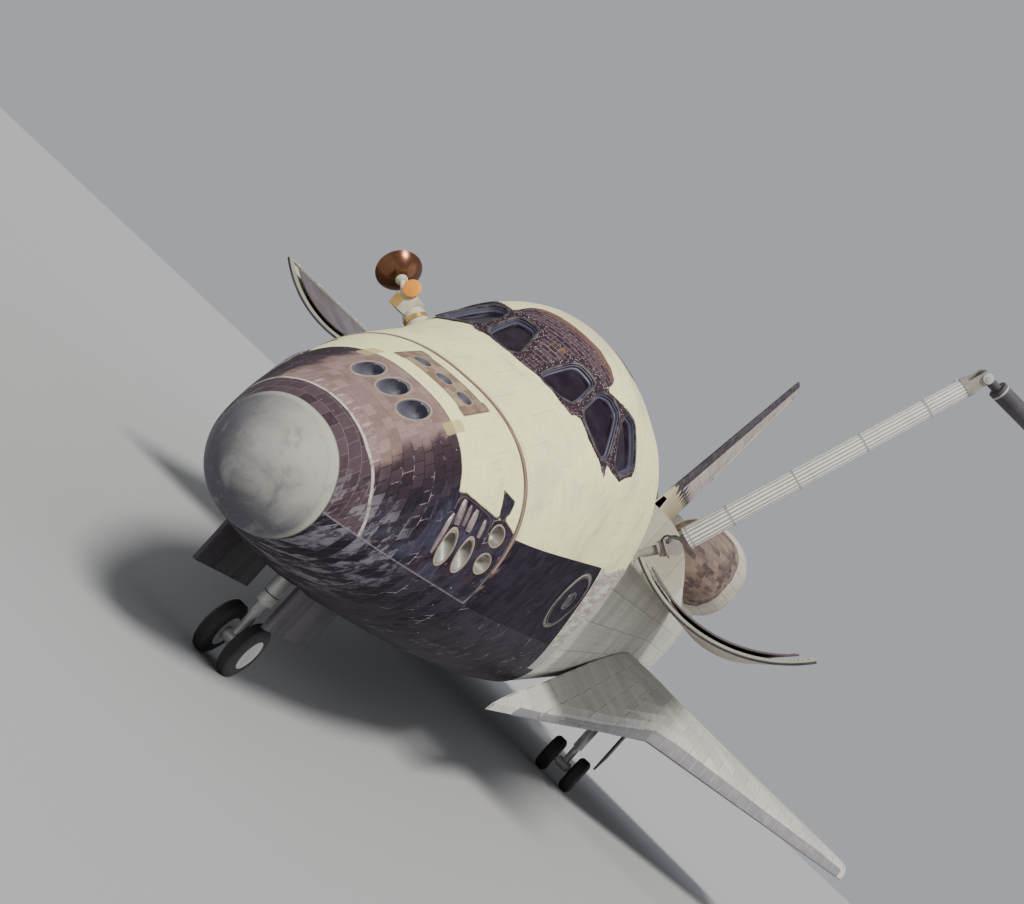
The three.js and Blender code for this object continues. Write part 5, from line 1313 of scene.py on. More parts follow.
class BodyPaint(Paint):
    """Adds the body's own coordinates in metres, which lean with the parked attitude."""

    def body(self):
        if "body" not in self.made:
            inverse = TO_ROW.inverted()
            start = self.node("ShaderNodeTexCoord").outputs["Object"]
            self.made["body"] = self.node(
                "ShaderNodeMapping",
                {"Vector": start, "Location": inverse.translation, "Rotation": (-PITCH, 0, 0)},
            ).outputs[0]
            self.made["xyz"] = self.node("ShaderNodeSeparateXYZ", {0: self.made["body"]})
        return self.made["body"]

    def along(self, name):
        self.body()
        return self.made["xyz"].outputs[name]

    def side_flat(self):
        """A flat chart for upright sides: along the body, then up."""
        if "side_flat" not in self.made:
            self.made["side_flat"] = self.node(
                "ShaderNodeCombineXYZ", {0: self.along("Y"), 1: self.along("Z"), 2: self.along("X")}
            ).outputs[0]
        return self.made["side_flat"]

    def up(self):
        if "up" not in self.made:
            normal = self.node("ShaderNodeNewGeometry").outputs["Normal"]
            self.made["up"] = self.node("ShaderNodeSeparateXYZ", {0: normal}).outputs["Z"]
        return self.made["up"]


def blanket_colour(paint, place, base=(0.6, 0.585, 0.5), shade=(0.36, 0.33, 0.31), size=(0.92, 0.7)):
    tone, gap = paint.bricks(place, size[0], size[1], 0.008)
    _, stitch = paint.bricks(place, 0.15, 0.15, 0.006, offset=0.0)
    cloud = paint.noise(place, 0.8, 6, 0.65)
    streak = paint.noise(
        paint.node("ShaderNodeMapping", {"Vector": place, "Scale": (0.3, 3.0, 0.3)}).outputs[0], 2.0, 5,
        0.6,
    )
    mixed = paint.plus(paint.times(tone, 0.3), paint.times(cloud, 0.7))
    colour = paint.mix(paint.ramp(mixed, 0.75, 0.25, 0.0, 0.55), base, shade)
    colour = paint.layers(
        colour,
        (paint.ramp(streak, 0.55, 0.8, 0.0, 0.4), [c * 0.7 for c in shade]),
        (paint.times(stitch, 0.25), [c * 0.7 for c in shade]),
        (paint.times(gap, 0.7), [c * 0.3 for c in shade]),
    )
    height = paint.minus(paint.times(paint.noise(place, 22, 3), 0.3), paint.plus(stitch, gap))
    return colour, height


def black_colour(paint, place, size=TILE):
    colour, gap, height = tile_tones(
        paint, place, (0.02, 0.015, 0.022), (0.068, 0.055, 0.066), size, size, 0.004,
    )
    return paint.mix(gap, colour, (0.011, 0.009, 0.011)), height


def fuselage_paint():
    """White sides over a black belly, split at a line along the flank."""
    paint = BodyPaint("fuselage_blanket", roughness=0.8)
    white, white_height = blanket_colour(paint, paint.side_flat())
    black, _ = black_colour(paint, paint.side_flat())
    belly = paint.ramp(paint.along("Z"), 0.30, 0.29)
    colour = paint.mix(belly, white, black)
    inside = paint.ramp(paint.math("ABSOLUTE", paint.along("X")), 2.41, 2.39)
    liner, _ = blanket_colour(paint, paint.body(), (0.52, 0.5, 0.4), (0.3, 0.27, 0.2), (1.2, 0.8))
    above = paint.ramp(paint.along("Z"), 0.60, 0.61)
    colour = paint.mix(paint.times(inside, above), colour, liner)
    return paint.finish(colour, white_height, 0.006, 0.5)


def wing_paint():
    """White upper surface and black lower surface, chosen by which way each face turns."""
    paint = BodyPaint("wing_tiles", roughness=0.74)
    place = paint.body()
    white, height = blanket_colour(paint, place, (0.55, 0.54, 0.48), (0.34, 0.32, 0.3), (0.9, 0.7))
    black, _ = black_colour(paint, place)
    colour = paint.mix(paint.ramp(paint.up(), 0.02, 0.06), black, white)
    return paint.finish(colour, height, 0.005, 0.5)


def fin_paint():
    """Cream blankets with a dark leading edge and root."""
    paint = BodyPaint("fin_blanket", roughness=0.8)
    place = paint.side_flat()
    cream, height = blanket_colour(paint, place, (0.5, 0.44, 0.4), (0.3, 0.23, 0.22), (0.7, 0.5))
    black, _ = black_colour(paint, place)
    y, z = paint.along("Y"), paint.along("Z")
    front = paint.plus(paint.times(paint.minus(z, 5.588), (34.481 - 26.467) / (13.614 - 5.588)), 26.467)
    behind = paint.minus(y, front)
    colour = paint.mix(paint.ramp(behind, 0.62, 0.60), cream, black)
    wave = paint.node(
        "ShaderNodeTexWave", {"Vector": place, "Scale": 0.62, "Distortion": 0.0}, wave_profile="TRI",
        bands_direction="X",
    ).outputs["Fac"]
    root = paint.plus(6.35, paint.times(wave, 0.35))
    colour = paint.mix(paint.ramp(paint.minus(z, root), 0.005, -0.005), colour, (0.46, 0.4, 0.27))
    band = paint.minus(0.16, paint.math("ABSOLUTE", paint.minus(paint.minus(z, root), 0.16)))
    colour = paint.mix(paint.ramp(band, -0.005, 0.005), colour, black)
    return paint.finish(colour, height, 0.005, 0.5)


def pod_paint():
    """Cream blanket pods with brown and black tiles at their front and rear."""
    paint = BodyPaint("pod_tile", roughness=0.75)
    place = paint.side_flat()
    cream, height = blanket_colour(paint, place, (0.52, 0.47, 0.38), (0.32, 0.27, 0.22), (0.62, 0.45))
    tiles, _, _ = tile_tones(paint, place, (0.05, 0.03, 0.03), (0.2, 0.14, 0.11), 0.16, 0.16, 0.004)
    y = paint.along("Y")
    wobble = paint.times(paint.noise(place, 1.1, 2), 0.7)
    front = paint.ramp(paint.plus(y, wobble), 29.02, 28.96)
    colour = paint.mix(front, cream, tiles)
    black, _ = black_colour(paint, place)
    colour = paint.mix(paint.ramp(y, 32.35, 32.4), colour, black)
    return paint.finish(colour, height, 0.005, 0.5)


FUSELAGE_PAINT = fuselage_paint()
WING_PAINT = wing_paint()
FIN_PAINT = fin_paint()
POD_PAINT = pod_paint()
BLACK_TILE = dark_tiles("black_tiles")


def dress_node(name, material, smooth):
    """Gives a kept CAD node its material and softened shading."""
    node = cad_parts[name]
    node.data.materials.clear()
    node.data.materials.append(material)
    node.data.shade_smooth()
    node.data.set_sharp_from_angle(angle=math.radians(smooth))


GEAR_METAL = worn_metal("gear_metal", (0.62, 0.62, 0.6), 0.42, 0.3, 8, (0.2, 0.18, 0.16), 0.45)
STRUCTURE = worn_metal("structure_metal", (0.42, 0.44, 0.36), 0.5, 0.3, 5, (0.14, 0.13, 0.1), 0.5)
ENGINE = worn_metal("engine_metal", (0.36, 0.33, 0.3), 0.38, 0.85, 4, (0.12, 0.08, 0.06), 0.65)
NOZZLE = worn_metal("nozzle_metal", (0.14, 0.12, 0.12), 0.5, 0.6, 6, (0.3, 0.26, 0.22), 0.4)
DECK = coated("deck_grey", (0.2, 0.21, 0.21), 0.6, (0.08, 0.08, 0.08), 0.4)
RUBBER = coated("tyre_rubber", (0.03, 0.03, 0.032), 0.8, (0.09, 0.085, 0.08), 0.4)
ARM_CLOTH = coated("arm_grey_blanket", (0.36, 0.33, 0.29), 0.75, (0.2, 0.17, 0.13), 0.45, 0.1)
BOOM_CLOTH = coated("arm_boom_blanket", (0.9, 0.9, 0.87), 0.55, (0.56, 0.54, 0.5), 0.3, 0.1, 0.0015)
DARK_CLOTH = coated("arm_dark_blanket", (0.05, 0.045, 0.055), 0.7, (0.15, 0.14, 0.14), 0.35, 0.1)
STRAP_CLOTH = coated("arm_strap_cloth", (0.4, 0.38, 0.36), 0.7, (0.25, 0.23, 0.21), 0.35, 0.1)
GOLD = worn_metal("dish_gold", (0.2, 0.09, 0.045), 0.2, 0.85, 3, (0.06, 0.02, 0.022), 0.75)
FOIL = worn_metal("gold_foil", (0.75, 0.5, 0.16), 0.25, 0.9, 7, (0.5, 0.25, 0.08), 0.4)
ORANGE = coated("orange_disc", (0.8, 0.3, 0.03), 0.55, (0.55, 0.2, 0.03), 0.3)
ANTENNA_WHITE = coated("antenna_white", (0.62, 0.57, 0.44), 0.6, (0.3, 0.26, 0.18), 0.45)

GEAR_DOORS = [f"{place}_gear_door_{word}" for place in ("nose", "main") for _, word in SIDES]
ELEVONS = [f"elevon_{place}_{word}" for place in ("inner", "outer") for _, word in SIDES]
for material, smooth, names in (
    (WING_PAINT, 24, [*ELEVONS, "wing_port", "wing_starboard"]),
    (BLACK_TILE, 32, ["body_flap", *GEAR_DOORS]),
    (FUSELAGE_PAINT, 32, ["mid_fuselage", "cabin_bulkhead"]),
    (GLASS, 32, ["rear_window"]),
    (DECK, 32, ["flight_deck"]),
    (FIN_PAINT, 32, ["fin", "rudder_panel_port", "rudder_panel_starboard"]),
    (STRUCTURE, 32, ["rudder_shaft", "thrust_structure"]),
    (GEAR_METAL, 32, ["nose_leg", "nose_fork", "main_leg_port", "main_leg_starboard"]),
    (ARM_CLOTH, 32, ["arm_pedestal", "arm_cradle", "arm_shoulder", "arm_upper_boom"]),
    (DARK_CLOTH, 32, ["arm_forearm"]),
    (BOOM_CLOTH, 32, ["arm_wrist_pitch", "arm_wrist_yaw", "arm_end_effector"]),
    (ANTENNA_WHITE, 32, ["antenna_bracket"]),
):
    for name in names:
        dress_node(name, material, smooth)


# ---------------------------------------------------------------- payload bay doors

HINGE = (2610, 3440)
CENTRE_Z = 3048
DOOR_FRONT, DOOR_REAR = 8802, 27189
DOOR_OUTER, DOOR_INNER, FRAME_INNER = 2590, 2545, 2500
FIXED_RADIATOR, MOVING_RADIATOR = (2485, 2402), (2439, 2401)  # outer and inner radius
STRINGER_ANGLES = (9.2, 30, 52, 72, 88.2)


def swung(points, degrees, side):
    """Closed port-side points swung open about the sill, mirrored for starboard."""
    p = np.asarray(points, float).copy()
    a = math.radians(degrees)
    x, z = p[:, 0] - HINGE[0], p[:, 2] - HINGE[1]
    p[:, 0] = side * (HINGE[0] + x * math.cos(a) + z * math.sin(a))
    p[:, 2] = HINGE[1] - x * math.sin(a) + z * math.cos(a)
    return p


def shell(outer, inner, a0, a1, stations, steps=56):
    """An arc shell; stations are rows of (y, cut below the outer face, cut above the inner face)."""
    angles = np.radians(np.linspace(a0, a1, steps + 1))
    rings = []
    for y, cut, rise in stations:
        faces = (outer - cut, angles), (inner + rise, angles[::-1])
        rings.append([(r * math.cos(a), y, CENTRE_Z + r * math.sin(a)) for r, turns in faces for a in turns])
    return rings_mesh(rings)


def panelled(y0, y1, count, cut=7, rise=5, width=9):
    """Stations of a shell with a groove at each panel joint."""
    rows = []
    edges = np.linspace(y0, y1, count + 1)
    for i, (a, b) in enumerate(zip(edges[:-1], edges[1:])):
        first = (cut, rise) if i else (0, 0)
        last = (cut, rise) if i < count - 1 else (0, 0)
        rows += [(a, cut, rise), (a + width, *first), (a + width + 4, 0, 0)]
        rows += [(b - width - 4, 0, 0), (b - width, *last)]
    rows.append((y1, cut, rise))
    return rows


def door_paint(name):
    paint = BodyPaint(name, roughness=0.78)
    place = paint.body()
    colour, height = blanket_colour(paint, place, (0.56, 0.52, 0.44), (0.33, 0.28, 0.24), (1.1, 0.75))
    y = paint.along("Y")
    colour = paint.mix(paint.ramp(y, 8.84, 8.83), colour, (0.1, 0.075, 0.08))
    return paint.finish(colour, height, 0.005, 0.5)


def radiator_paint(name):
    """Silvered sheets in narrow strips, dulled by grime."""
    paint = BodyPaint(name, roughness=0.3, metallic=0.75)
    place = paint.body()
    tone, gap = paint.bricks(place, 0.46, 0.1, 0.002)
    cloud = paint.noise(place, 1.1, 5, 0.6)
    colour = paint.mix(paint.ramp(tone, 0.0, 1.0, 0.0, 0.35), (0.24, 0.19, 0.195), (0.17, 0.12, 0.13))
    colour = paint.layers(
        colour,
        (paint.ramp(cloud, 0.45, 0.75, 0.0, 0.5), (0.13, 0.085, 0.08)),
        (paint.times(gap, 0.6), (0.12, 0.09, 0.08)),
    )
    return paint.finish(colour, gap, 0.002, 0.3, paint.ramp(cloud, 0.3, 0.7, 0.22, 0.5))


DOOR_PAINT = door_paint("door_blanket")
RADIATOR_PAINT = radiator_paint("radiator_panel")
EDGE_BLACK = worn_metal("edge_black", (0.035, 0.03, 0.032), 0.55, 0.3, 9, (0.15, 0.13, 0.12), 0.4)
LATCH = worn_metal("latch_metal", (0.6, 0.57, 0.48), 0.4, 0.5, 10, (0.2, 0.17, 0.13), 0.4)
DOOR_START = math.degrees(math.asin((3434 - CENTRE_Z) / 2591))


def fittings(radius, y, angles, size=(44, 46, 70)):
    """Small blocks set along a door's edge, sized outward, aft and round."""
    half = Vector(size) / 2
    parts = []
    for a in np.radians(angles):
        place = Matrix.Translation((radius * math.cos(a), y, CENTRE_Z + radius * math.sin(a)))
        parts.append(moved(box_mesh(-half, half, 6), place @ Matrix.Rotation(-a, 4, "Y")))
    return merged(*parts)


for side, word, angle in ((1, "port", 128), (-1, "starboard", 142)):
    def place(mesh):
        points, faces = mesh
        return swung(points, angle, side), faces if side > 0 else [tuple(reversed(f)) for f in faces]

    body = "bay_door_" + word
    skin = shell(DOOR_OUTER, DOOR_INNER, DOOR_START + 0.1, 89.8, panelled(DOOR_FRONT, DOOR_REAR, 5))
    build(body + "_shell", *place(skin), DOOR_PAINT, body, 30, "fuselage_blanket", body)
    frames = [
        shell(DOOR_INNER + 1, FRAME_INNER, DOOR_START + 0.4, 89.4, [(y, 0, 0), (y + 70, 0, 0)])
        for y in np.linspace(8806, 27115, 14)
    ]
    frames += [
        shell(DOOR_INNER + 1, FRAME_INNER + 5, a, a + 1.1, [(8810, 0, 0), (27180, 0, 0)], 3)
        for a in STRINGER_ANGLES
    ]
    build(body + "_frames", *place(merged(*frames)), STRUCTURE, body)
    rim = [shell(DOOR_OUTER + 0.5, 2556, DOOR_START + 0.2, 89.7, [(8801, 0, 0), (8806, 0, 0)])]
    build(body + "_front_edge", *place(merged(*rim)), EDGE_BLACK, body)
    latches = [fittings(2540, y, np.linspace(12, 87, 17)) for y in (8834, 27160)]
    latches += [fittings(2520, y, [88.6], (60, 240, 60)) for y in np.linspace(9300, 26800, 16)]
    build(body + "_latches", *place(merged(*latches)), LATCH, body)
    fixed = shell(*FIXED_RADIATOR, 16, 84, panelled(18022, 27001, 2, 9, 9, 12))
    build(body + "_fixed_radiator", *place(fixed), RADIATOR_PAINT, body)
    moving = shell(*MOVING_RADIATOR, 14, 84, panelled(8850, 17898, 2, 9, 9, 12))
    build(
        f"radiator_{word}_panels", *place(moving), RADIATOR_PAINT, "radiator_" + word, 30, "radiator_panel",
        "radiator_" + word,
    )
    pipes = []
    for a in (15, 83):
        c, s = math.cos(math.radians(a)), math.sin(math.radians(a))
        path = [(2398 * c, y, CENTRE_Z + 2398 * s) for y in np.linspace(8870, 17880, 12)]
        pipes.append(tube_mesh(path, 11, 8))
    build(f"radiator_{word}_pipes", *place(merged(*pipes)), LATCH, "radiator_" + word)


# ---------------------------------------------------------------- payload bay

def bay_parts():
    ribs = []
    for y in np.linspace(9100, 26900, 14):
        path = []
        for a in np.linspace(0, 180, 49):
            c, s = math.cos(math.radians(a)), -math.sin(math.radians(a))
            x = 2372 * math.copysign(abs(c) ** (2 / 3.4), c)
            z = 2388 - (2388 - 628) * abs(s) ** (2 / 3.4)
            path.append((x, z))
        path = [(2372, 3380)] + path + [(-2372, 3380)]
        outer = [(x, y - 40, z) for x, z in path]
        inner = [(x * 0.965, y - 40, z + (62 if z < 2380 else 0)) for x, z in path]
        ring = outer + inner[::-1]
        ribs.append(rings_mesh([ring, [(x, q + 80, z) for x, q, z in ring]]))
    for x in (2334, -2378):
        for z in (3330, 2500):
            ribs.append(box_mesh((x, 8830, z - 45), (x + 44, 27160, z + 45), 6))
    return merged(*ribs)


build("bay_frames", *bay_parts(), STRUCTURE)
sills = []
for low, high, taken in ((2400, 2560, 11265), (-2560, -2400, 9150)):
    for y in np.linspace(9400, 26600, 13):
        if abs(y - taken) >= 500:
            sills.append(box_mesh((low, y - 90, 3398), (high, y + 90, 3424), 6))
build("sill_fittings", *merged(*sills), LATCH)
keel = [box_mesh((-110, 8900, 622), (110, 27100, 700), 10)]
for y in np.linspace(9600, 26400, 9):
    keel.append(box_mesh((-420, y - 60, 640), (420, y + 60, 668), 8))
build("bay_keel", *merged(*keel), STRUCTURE)
# Rows: place across, height, half width, half height, depth
BULKHEAD_BOXES = [
    (-1500, 3500, 300, 380, 210), (-1050, 2200, 260, 300, 170), (1250, 3300, 340, 260, 190),
    (1650, 2300, 260, 420, 160), (-1700, 1500, 220, 260, 150), (900, 1400, 300, 220, 160),
    (0, 3750, 560, 120, 120), (-760, 4250, 180, 180, 120), (820, 4250, 180, 180, 120),
]
boxes = [
    box_mesh((x - w, BULKHEAD_Y, z - h), (x + w, BULKHEAD_Y + d, z + h), 14)
    for x, z, w, h, d in BULKHEAD_BOXES
]
for x in (-1850, -620, 640, 1900):
    path = [(x, 8790, 1000), (x, 8800, 2000), (x * 0.92, 8800, 3000), (x * 0.85, 8790, 4300)]
    boxes.append(tube_mesh(path, 22, 10))
build("bulkhead_boxes", *merged(*boxes), ANTENNA_WHITE)
AIRLOCK = (0, BULKHEAD_Y, 2300)
hatch_mouth = lathe_mesh(
    [(498, -10), (498, 60), (560, 66), (580, 20), (580, -10)], AIRLOCK, (0, 1, 0), 64, True,
)
cover = lathe_mesh([(0, -60), (496, -60), (496, -20), (420, -6), (90, 2), (0, 2)], AIRLOCK, (0, 1, 0), 64)
build("bay_hatch", *merged(hatch_mouth, cover), GEAR_METAL)


# ---------------------------------------------------------------- aft body and engine pods

def smooth_loft(table, count, ring, y0=None, y1=None, steps=60):
    ys = np.linspace(table[0, 0] if y0 is None else y0, table[-1, 0] if y1 is None else y1, steps)
    rows = smooth_table(table, ys)
    return [ring(y, row, count) for y, row in zip(ys, rows)]


def skin_ring(y, row, count):
    t = np.linspace(0, 2 * math.pi, count, endpoint=False)
    return surface(y + 0 * t, t, [v + 0 * t for v in row])


ENGINES = [("main_engine_top", (0, 30709, 4140), 16, 0), ("main_engine_port", (1346, 31297, 1591), 10, 3.5),
           ("main_engine_starboard", (-1346, 31297, 1591), 10, -3.5)]


def aimed(pitch, yaw):
    p, w = math.radians(pitch), math.radians(yaw)
    return V(math.sin(w) * math.cos(p), math.cos(w) * math.cos(p), math.sin(p))


BASE_Y = 32664
mouths = []
for name, gimbal, pitch, yaw in ENGINES:
    aim = aimed(pitch, yaw)
    mouths.append(Vector(gimbal) + aim * ((BASE_Y - gimbal[1]) / aim.y))
holes = [cylinder(mouth, (0, 1, 0), 1050, -600, 400, 72) for mouth in mouths]
aft_rings = smooth_loft(AFT_SKIN, 200, skin_ring, 27212, BASE_Y, 50)
holes.append(
    rings_mesh(smooth_loft(AFT_SKIN - np.array([0, -90, 0, 90, 90, 0, 0]), 96, skin_ring, 27420, 32560, 16))
)
aft = carved(rings_mesh(aft_rings), holes)
dress("aft_fuselage_skin", aft, FUSELAGE_PAINT, "orbiter", 30, "fuselage_blanket", "aft_fuselage")

COLLAR = [(1046, -90), (1120, -20), (1130, 26), (1000, 40), (930, -10), (900, -120)]
collars = [lathe_mesh(COLLAR, mouth, (0, 1, 0), 72, True) for mouth in mouths]
build(
    "engine_collars", *merged(*collars),
    coated("collar_cloth", (0.3, 0.28, 0.25), 0.8, (0.1, 0.09, 0.08), 0.5),
)


def banded_bell(profile, outside, bands, section, origin, aim, sides):
    """A nozzle's bell with bands round it; outside is the profile's part that the bands lie on."""
    parts = [lathe_mesh(profile, origin, aim, sides)]
    radii, places = zip(*profile[outside])
    for d in bands:
        r = np.interp(d, places, radii)
        band = [(r + out, d + along) for out, along in section]
        parts.append(lathe_mesh(band, origin, aim, sides, True))
    return parts


BELL = [
    (470, 300), (560, 700), (560, 1500), (330, 1750), (300, 2000), (420, 2190), (520, 2350), (665, 2590),
    (800, 2850), (912, 3140), (1010, 3450), (1108, 3840), (1192, 4262), (1180, 4262), (1090, 3840),
    (985, 3450), (885, 3140), (770, 2850), (636, 2590), (490, 2350), (380, 2190), (240, 2060), (1, 2050),
]
for name, gimbal, pitch, yaw in ENGINES:
    aim = aimed(pitch, yaw)
    bell = banded_bell(
        BELL, slice(6, 13), np.linspace(2450, 4180, 9), ((-12, -26), (14, -20), (14, 20), (-8, 26)),
        gimbal, aim, 96,
    )
    bell.append(lathe_mesh([(150, 0), (220, 310), (100, 330)], gimbal, aim, 32))
    d0, side, up = axes_of(aim)
    for k in range(6):
        a = k * math.pi / 3 + 0.3
        q = Vector(gimbal) + (side * math.cos(a) + up * math.sin(a)) * 600
        bell.append(tube_mesh([tuple(q + d0 * v) for v in (560, 900, 1300, 1650)], [90, 110, 100, 60], 16))
    build(name + "_bell", *merged(*bell), ENGINE, "orbiter", 35, "engine_metal", name)

POD = np.array([
    [27260, 1750, 4950, 350, 420], [27700, 1900, 5020, 900, 1000], [28500, 2040, 5130, 1330, 1420],
    [29800, 2110, 5210, 1540, 1600], [31400, 2134, 5232, 1626, 1640], [32700, 2134, 5232, 1560, 1580],
    [33350, 2134, 5232, 1430, 1450],
], float)
POD_GIMBAL, POD_AIM = (2235, 32563, 5385), aimed(15.8, 6.5)
POD_BELL = [
    (150, -120), (150, 120), (120, 200), (260, 500), (345, 700), (420, 900), (495, 1200), (558, 1495),
    (545, 1495), (480, 1200), (405, 900), (325, 700), (235, 500), (95, 230), (1, 225),
]


def pod_ring(y, row, count):
    cx, cz, hw, hh = row
    a = np.linspace(0, 2 * math.pi, count, endpoint=False)
    c, s = np.cos(a), np.sin(a)
    c, s = [np.sign(v) * np.abs(v) ** 0.87 for v in (c, s)]
    return np.stack([cx + hw * c, y + 0 * a, cz + hh * s], -1)


fin_room = box_mesh((-900, 27000, 5600), (345, 36000, 8200))
top_room = lathe_mesh([(700, 1900), (1420, 4600)], ENGINES[0][1], aimed(16, 0), 64)
pod_solid = rings_mesh(smooth_loft(POD, 128, pod_ring, steps=54))
pod_cuts = [lathe_mesh([(420, -260), (980, 2200)], POD_GIMBAL, POD_AIM, 64), fin_room, top_room]
for side, word in SIDES:
    shape = pod_solid if side > 0 else mirrored(pod_solid)
    cuts = pod_cuts if side > 0 else [mirrored(c) for c in pod_cuts]
    dress(
        f"engine_pod_{word}_skin", carved(shape, cuts), POD_PAINT, "orbiter", 30, "pod_tile",
        "engine_pod_" + word,
    )
    bell = banded_bell(
        POD_BELL, slice(3, 8), (620, 820, 1020, 1220, 1420), ((-8, -14), (8, -10), (8, 10), (-6, 14)),
        POD_GIMBAL, POD_AIM, 80,
    )
    throat = [(200, -60), (330, -60), (360, 60), (260, 150), (200, 60)]
    bell.append(lathe_mesh(throat, POD_GIMBAL, POD_AIM, 48, True))
    whole = merged(*bell)
    build(
        f"pod_nozzle_{word}_bell", *(whole if side > 0 else mirrored(whole)), NOZZLE, "orbiter", 35,
        "nozzle_metal", "pod_nozzle_" + word,
    )

# ---------------------------------------------------------------- wing leading edges

TRAILING_EDGE, ROOT_X, ROOT_LOW, DIHEDRAL = 29235, 2684, 110, math.radians(3.5)
# Rows: place across, leading edge, thickness, share of the blended root section
STATIONS = np.array([
    [2684, 6706, 1420, 1], [3230, 10150, 1360, 1], [3900, 14480, 1300, 0.8], [4780, 20015, 1220, 0.25],
    [5600, 20832, 1110, 0], [7938, 23170, 850, 0], [11500, 26732, 470, 0], [11805, 27027, 430, 0],
], float)
PROFILE = np.array([(0, 0.1, 0.06), (0.008, 0.25, 0.14), (0.03, 0.42, 0.2), (0.08, 0.62, 0.28)])
LOWER = np.array([(0, 0.1), (0.02, 0.05), (0.08, 0.02)])


def edge_ring(x, reach, lift):
    """A leading-edge section from its upper to its lower rear edge, lifted off the wing."""
    le, thick, glove = [np.interp(x, STATIONS[:, 0], STATIONS[:, k]) for k in (1, 2, 3)]
    low = ROOT_LOW + (x - ROOT_X) * math.tan(DIHEDRAL)
    chord = TRAILING_EDGE - le
    ts = [t * reach for t in (1, 0.75, 0.5, 0.32, 0.18, 0.09, 0.03, 0.0)]
    top = []
    for t in ts:
        bare, gloved = [np.interp(t, PROFILE[:, 0], PROFILE[:, k]) for k in (1, 2)]
        top.append((t, bare * (1 - glove) + gloved * glove))
    under = [(t, np.interp(t, LOWER[:, 0], LOWER[:, 1])) for t in ts[::-1][1:]]
    points = [(x, le + chord * t, low + thick * h) for t, h in top + under]
    out = []
    for i, p in enumerate(points):
        a, b = points[max(i - 1, 0)], points[min(i + 1, len(points) - 1)]
        dy, dz = b[1] - a[1], b[2] - a[2]
        n = math.hypot(dy, dz)
        out.append((x, p[1] + dz / n * lift, p[2] - dy / n * lift))
    return out


def edge_panels():
    parts = []
    spans = np.concatenate([np.linspace(2900, 4780, 9), np.linspace(5150, 11650, 21)])
    for a, b in zip(spans[:-1], spans[1:]):
        reach = 260 / (TRAILING_EDGE - np.interp((a + b) / 2, STATIONS[:, 0], STATIONS[:, 1]))
        at = (a + 5, a + 12, b - 12, b - 5)
        outer = [edge_ring(x, reach, lift) for x, lift in zip(at, (4, 10, 10, 4))]
        inner = [edge_ring(x, reach, -24) for x in at]
        parts.append(rings_mesh([o + i[::-1] for o, i in zip(outer, inner)]))
    return merged(*parts)


EDGE_GREY = worn_metal("edge_grey", (0.2, 0.19, 0.2), 0.5, 0.1, 5, (0.36, 0.34, 0.32), 0.5)
edges = edge_panels()
build("wing_edge_port", *edges, EDGE_GREY)
build("wing_edge_starboard", *mirrored(edges), EDGE_GREY)


# ---------------------------------------------------------------- landing gear

def floor_z(y):
    """The floor below a station of the leaning body."""
    return -FLOOR_DROP - (y - NOSE_AXLE_Y) * LEAN


def wheel(x, y, z, radius, width):
    w = width / 2
    d = (1, 0, 0)
    profile = [
        (radius * 0.56, -w), (radius * 0.64, -w * 1.0), (radius * 0.8, -w * 0.98),
        (radius * 0.92, -w * 0.8), (radius * 0.985, -w * 0.5),
    ]
    for k in (-0.42, -0.14, 0.14, 0.42):
        profile += [
            (radius * 0.998, w * (k - 0.12)), (radius * 0.998, w * (k + 0.1)),
            (radius * 0.985, w * (k + 0.115)), (radius * 0.985, w * (k + 0.14)),
        ]
    profile += [(radius * 0.92, w * 0.8), (radius * 0.8, w * 0.98), (radius * 0.64, w), (radius * 0.56, w)]
    tyre = lathe_mesh(profile, (x, y, z), d, 96, True)
    # Rows: share of the radius, share of half the width
    half = [(0.555, 0.98), (0.58, 1.0), (0.5, 0.9), (0.42, 0.5), (0.2, 0.45), (0.17, 0.7)]
    rows = [(r, -along) for r, along in half] + [(0, -0.72), (0, 0.72)] + half[::-1]
    rim = lathe_mesh([(max(radius * r, 1), w * along) for r, along in rows], (x, y, z), d, 64)
    bolts = []
    for k in range(10):
        a = 2 * math.pi * k / 10
        c = (x, y + radius * 0.32 * math.cos(a), z + radius * 0.32 * math.sin(a))
        bolts.append(lathe_mesh([(radius * 0.045, -w * 0.54), (radius * 0.045, w * 0.54)], c, d, 10))
    return tyre, merged(rim, *bolts)


def wheel_set(body, x, y, radius, width, offset, axle):
    z = floor_z(y) + radius / COS
    tyres, rims = zip(*[wheel(x + s * offset, y, z, radius, width) for s in (1, -1)])
    build(body + "_tyres", *merged(*tyres), RUBBER, body, 40, "tyre_rubber", body)
    shaft = lathe_mesh([(axle, -offset), (axle, offset)], (x, y, z), (1, 0, 0), 24)
    build(body + "_rims", *merged(*rims, shaft), GEAR_METAL, body, 35)


# Rows: body, axle's place across and along, wheel radius and width, wheel off the middle, axle radius
for row in (
    ("nose_wheels", 0, NOSE_AXLE_Y, 406, 224, 230, 56),
    ("main_wheels_port", 3454, 23774, 565, 406, 470, 80),
    ("main_wheels_starboard", -3454, 23774, 565, 406, 470, 80),
):
    wheel_set(*row)


def well_wall(x0, x1, y0, y1):
    """A wall of the nose wheel well, with its lower edge inside the belly."""
    low0, low1 = np.interp([y0, y1], [WELL_FRONT, WELL_REAR], [480, 260])
    return rings_mesh([[(x, y0, low0), (x, y1, low1), (x, y1, 1300), (x, y0, 1300)] for x in (x0, x1)])


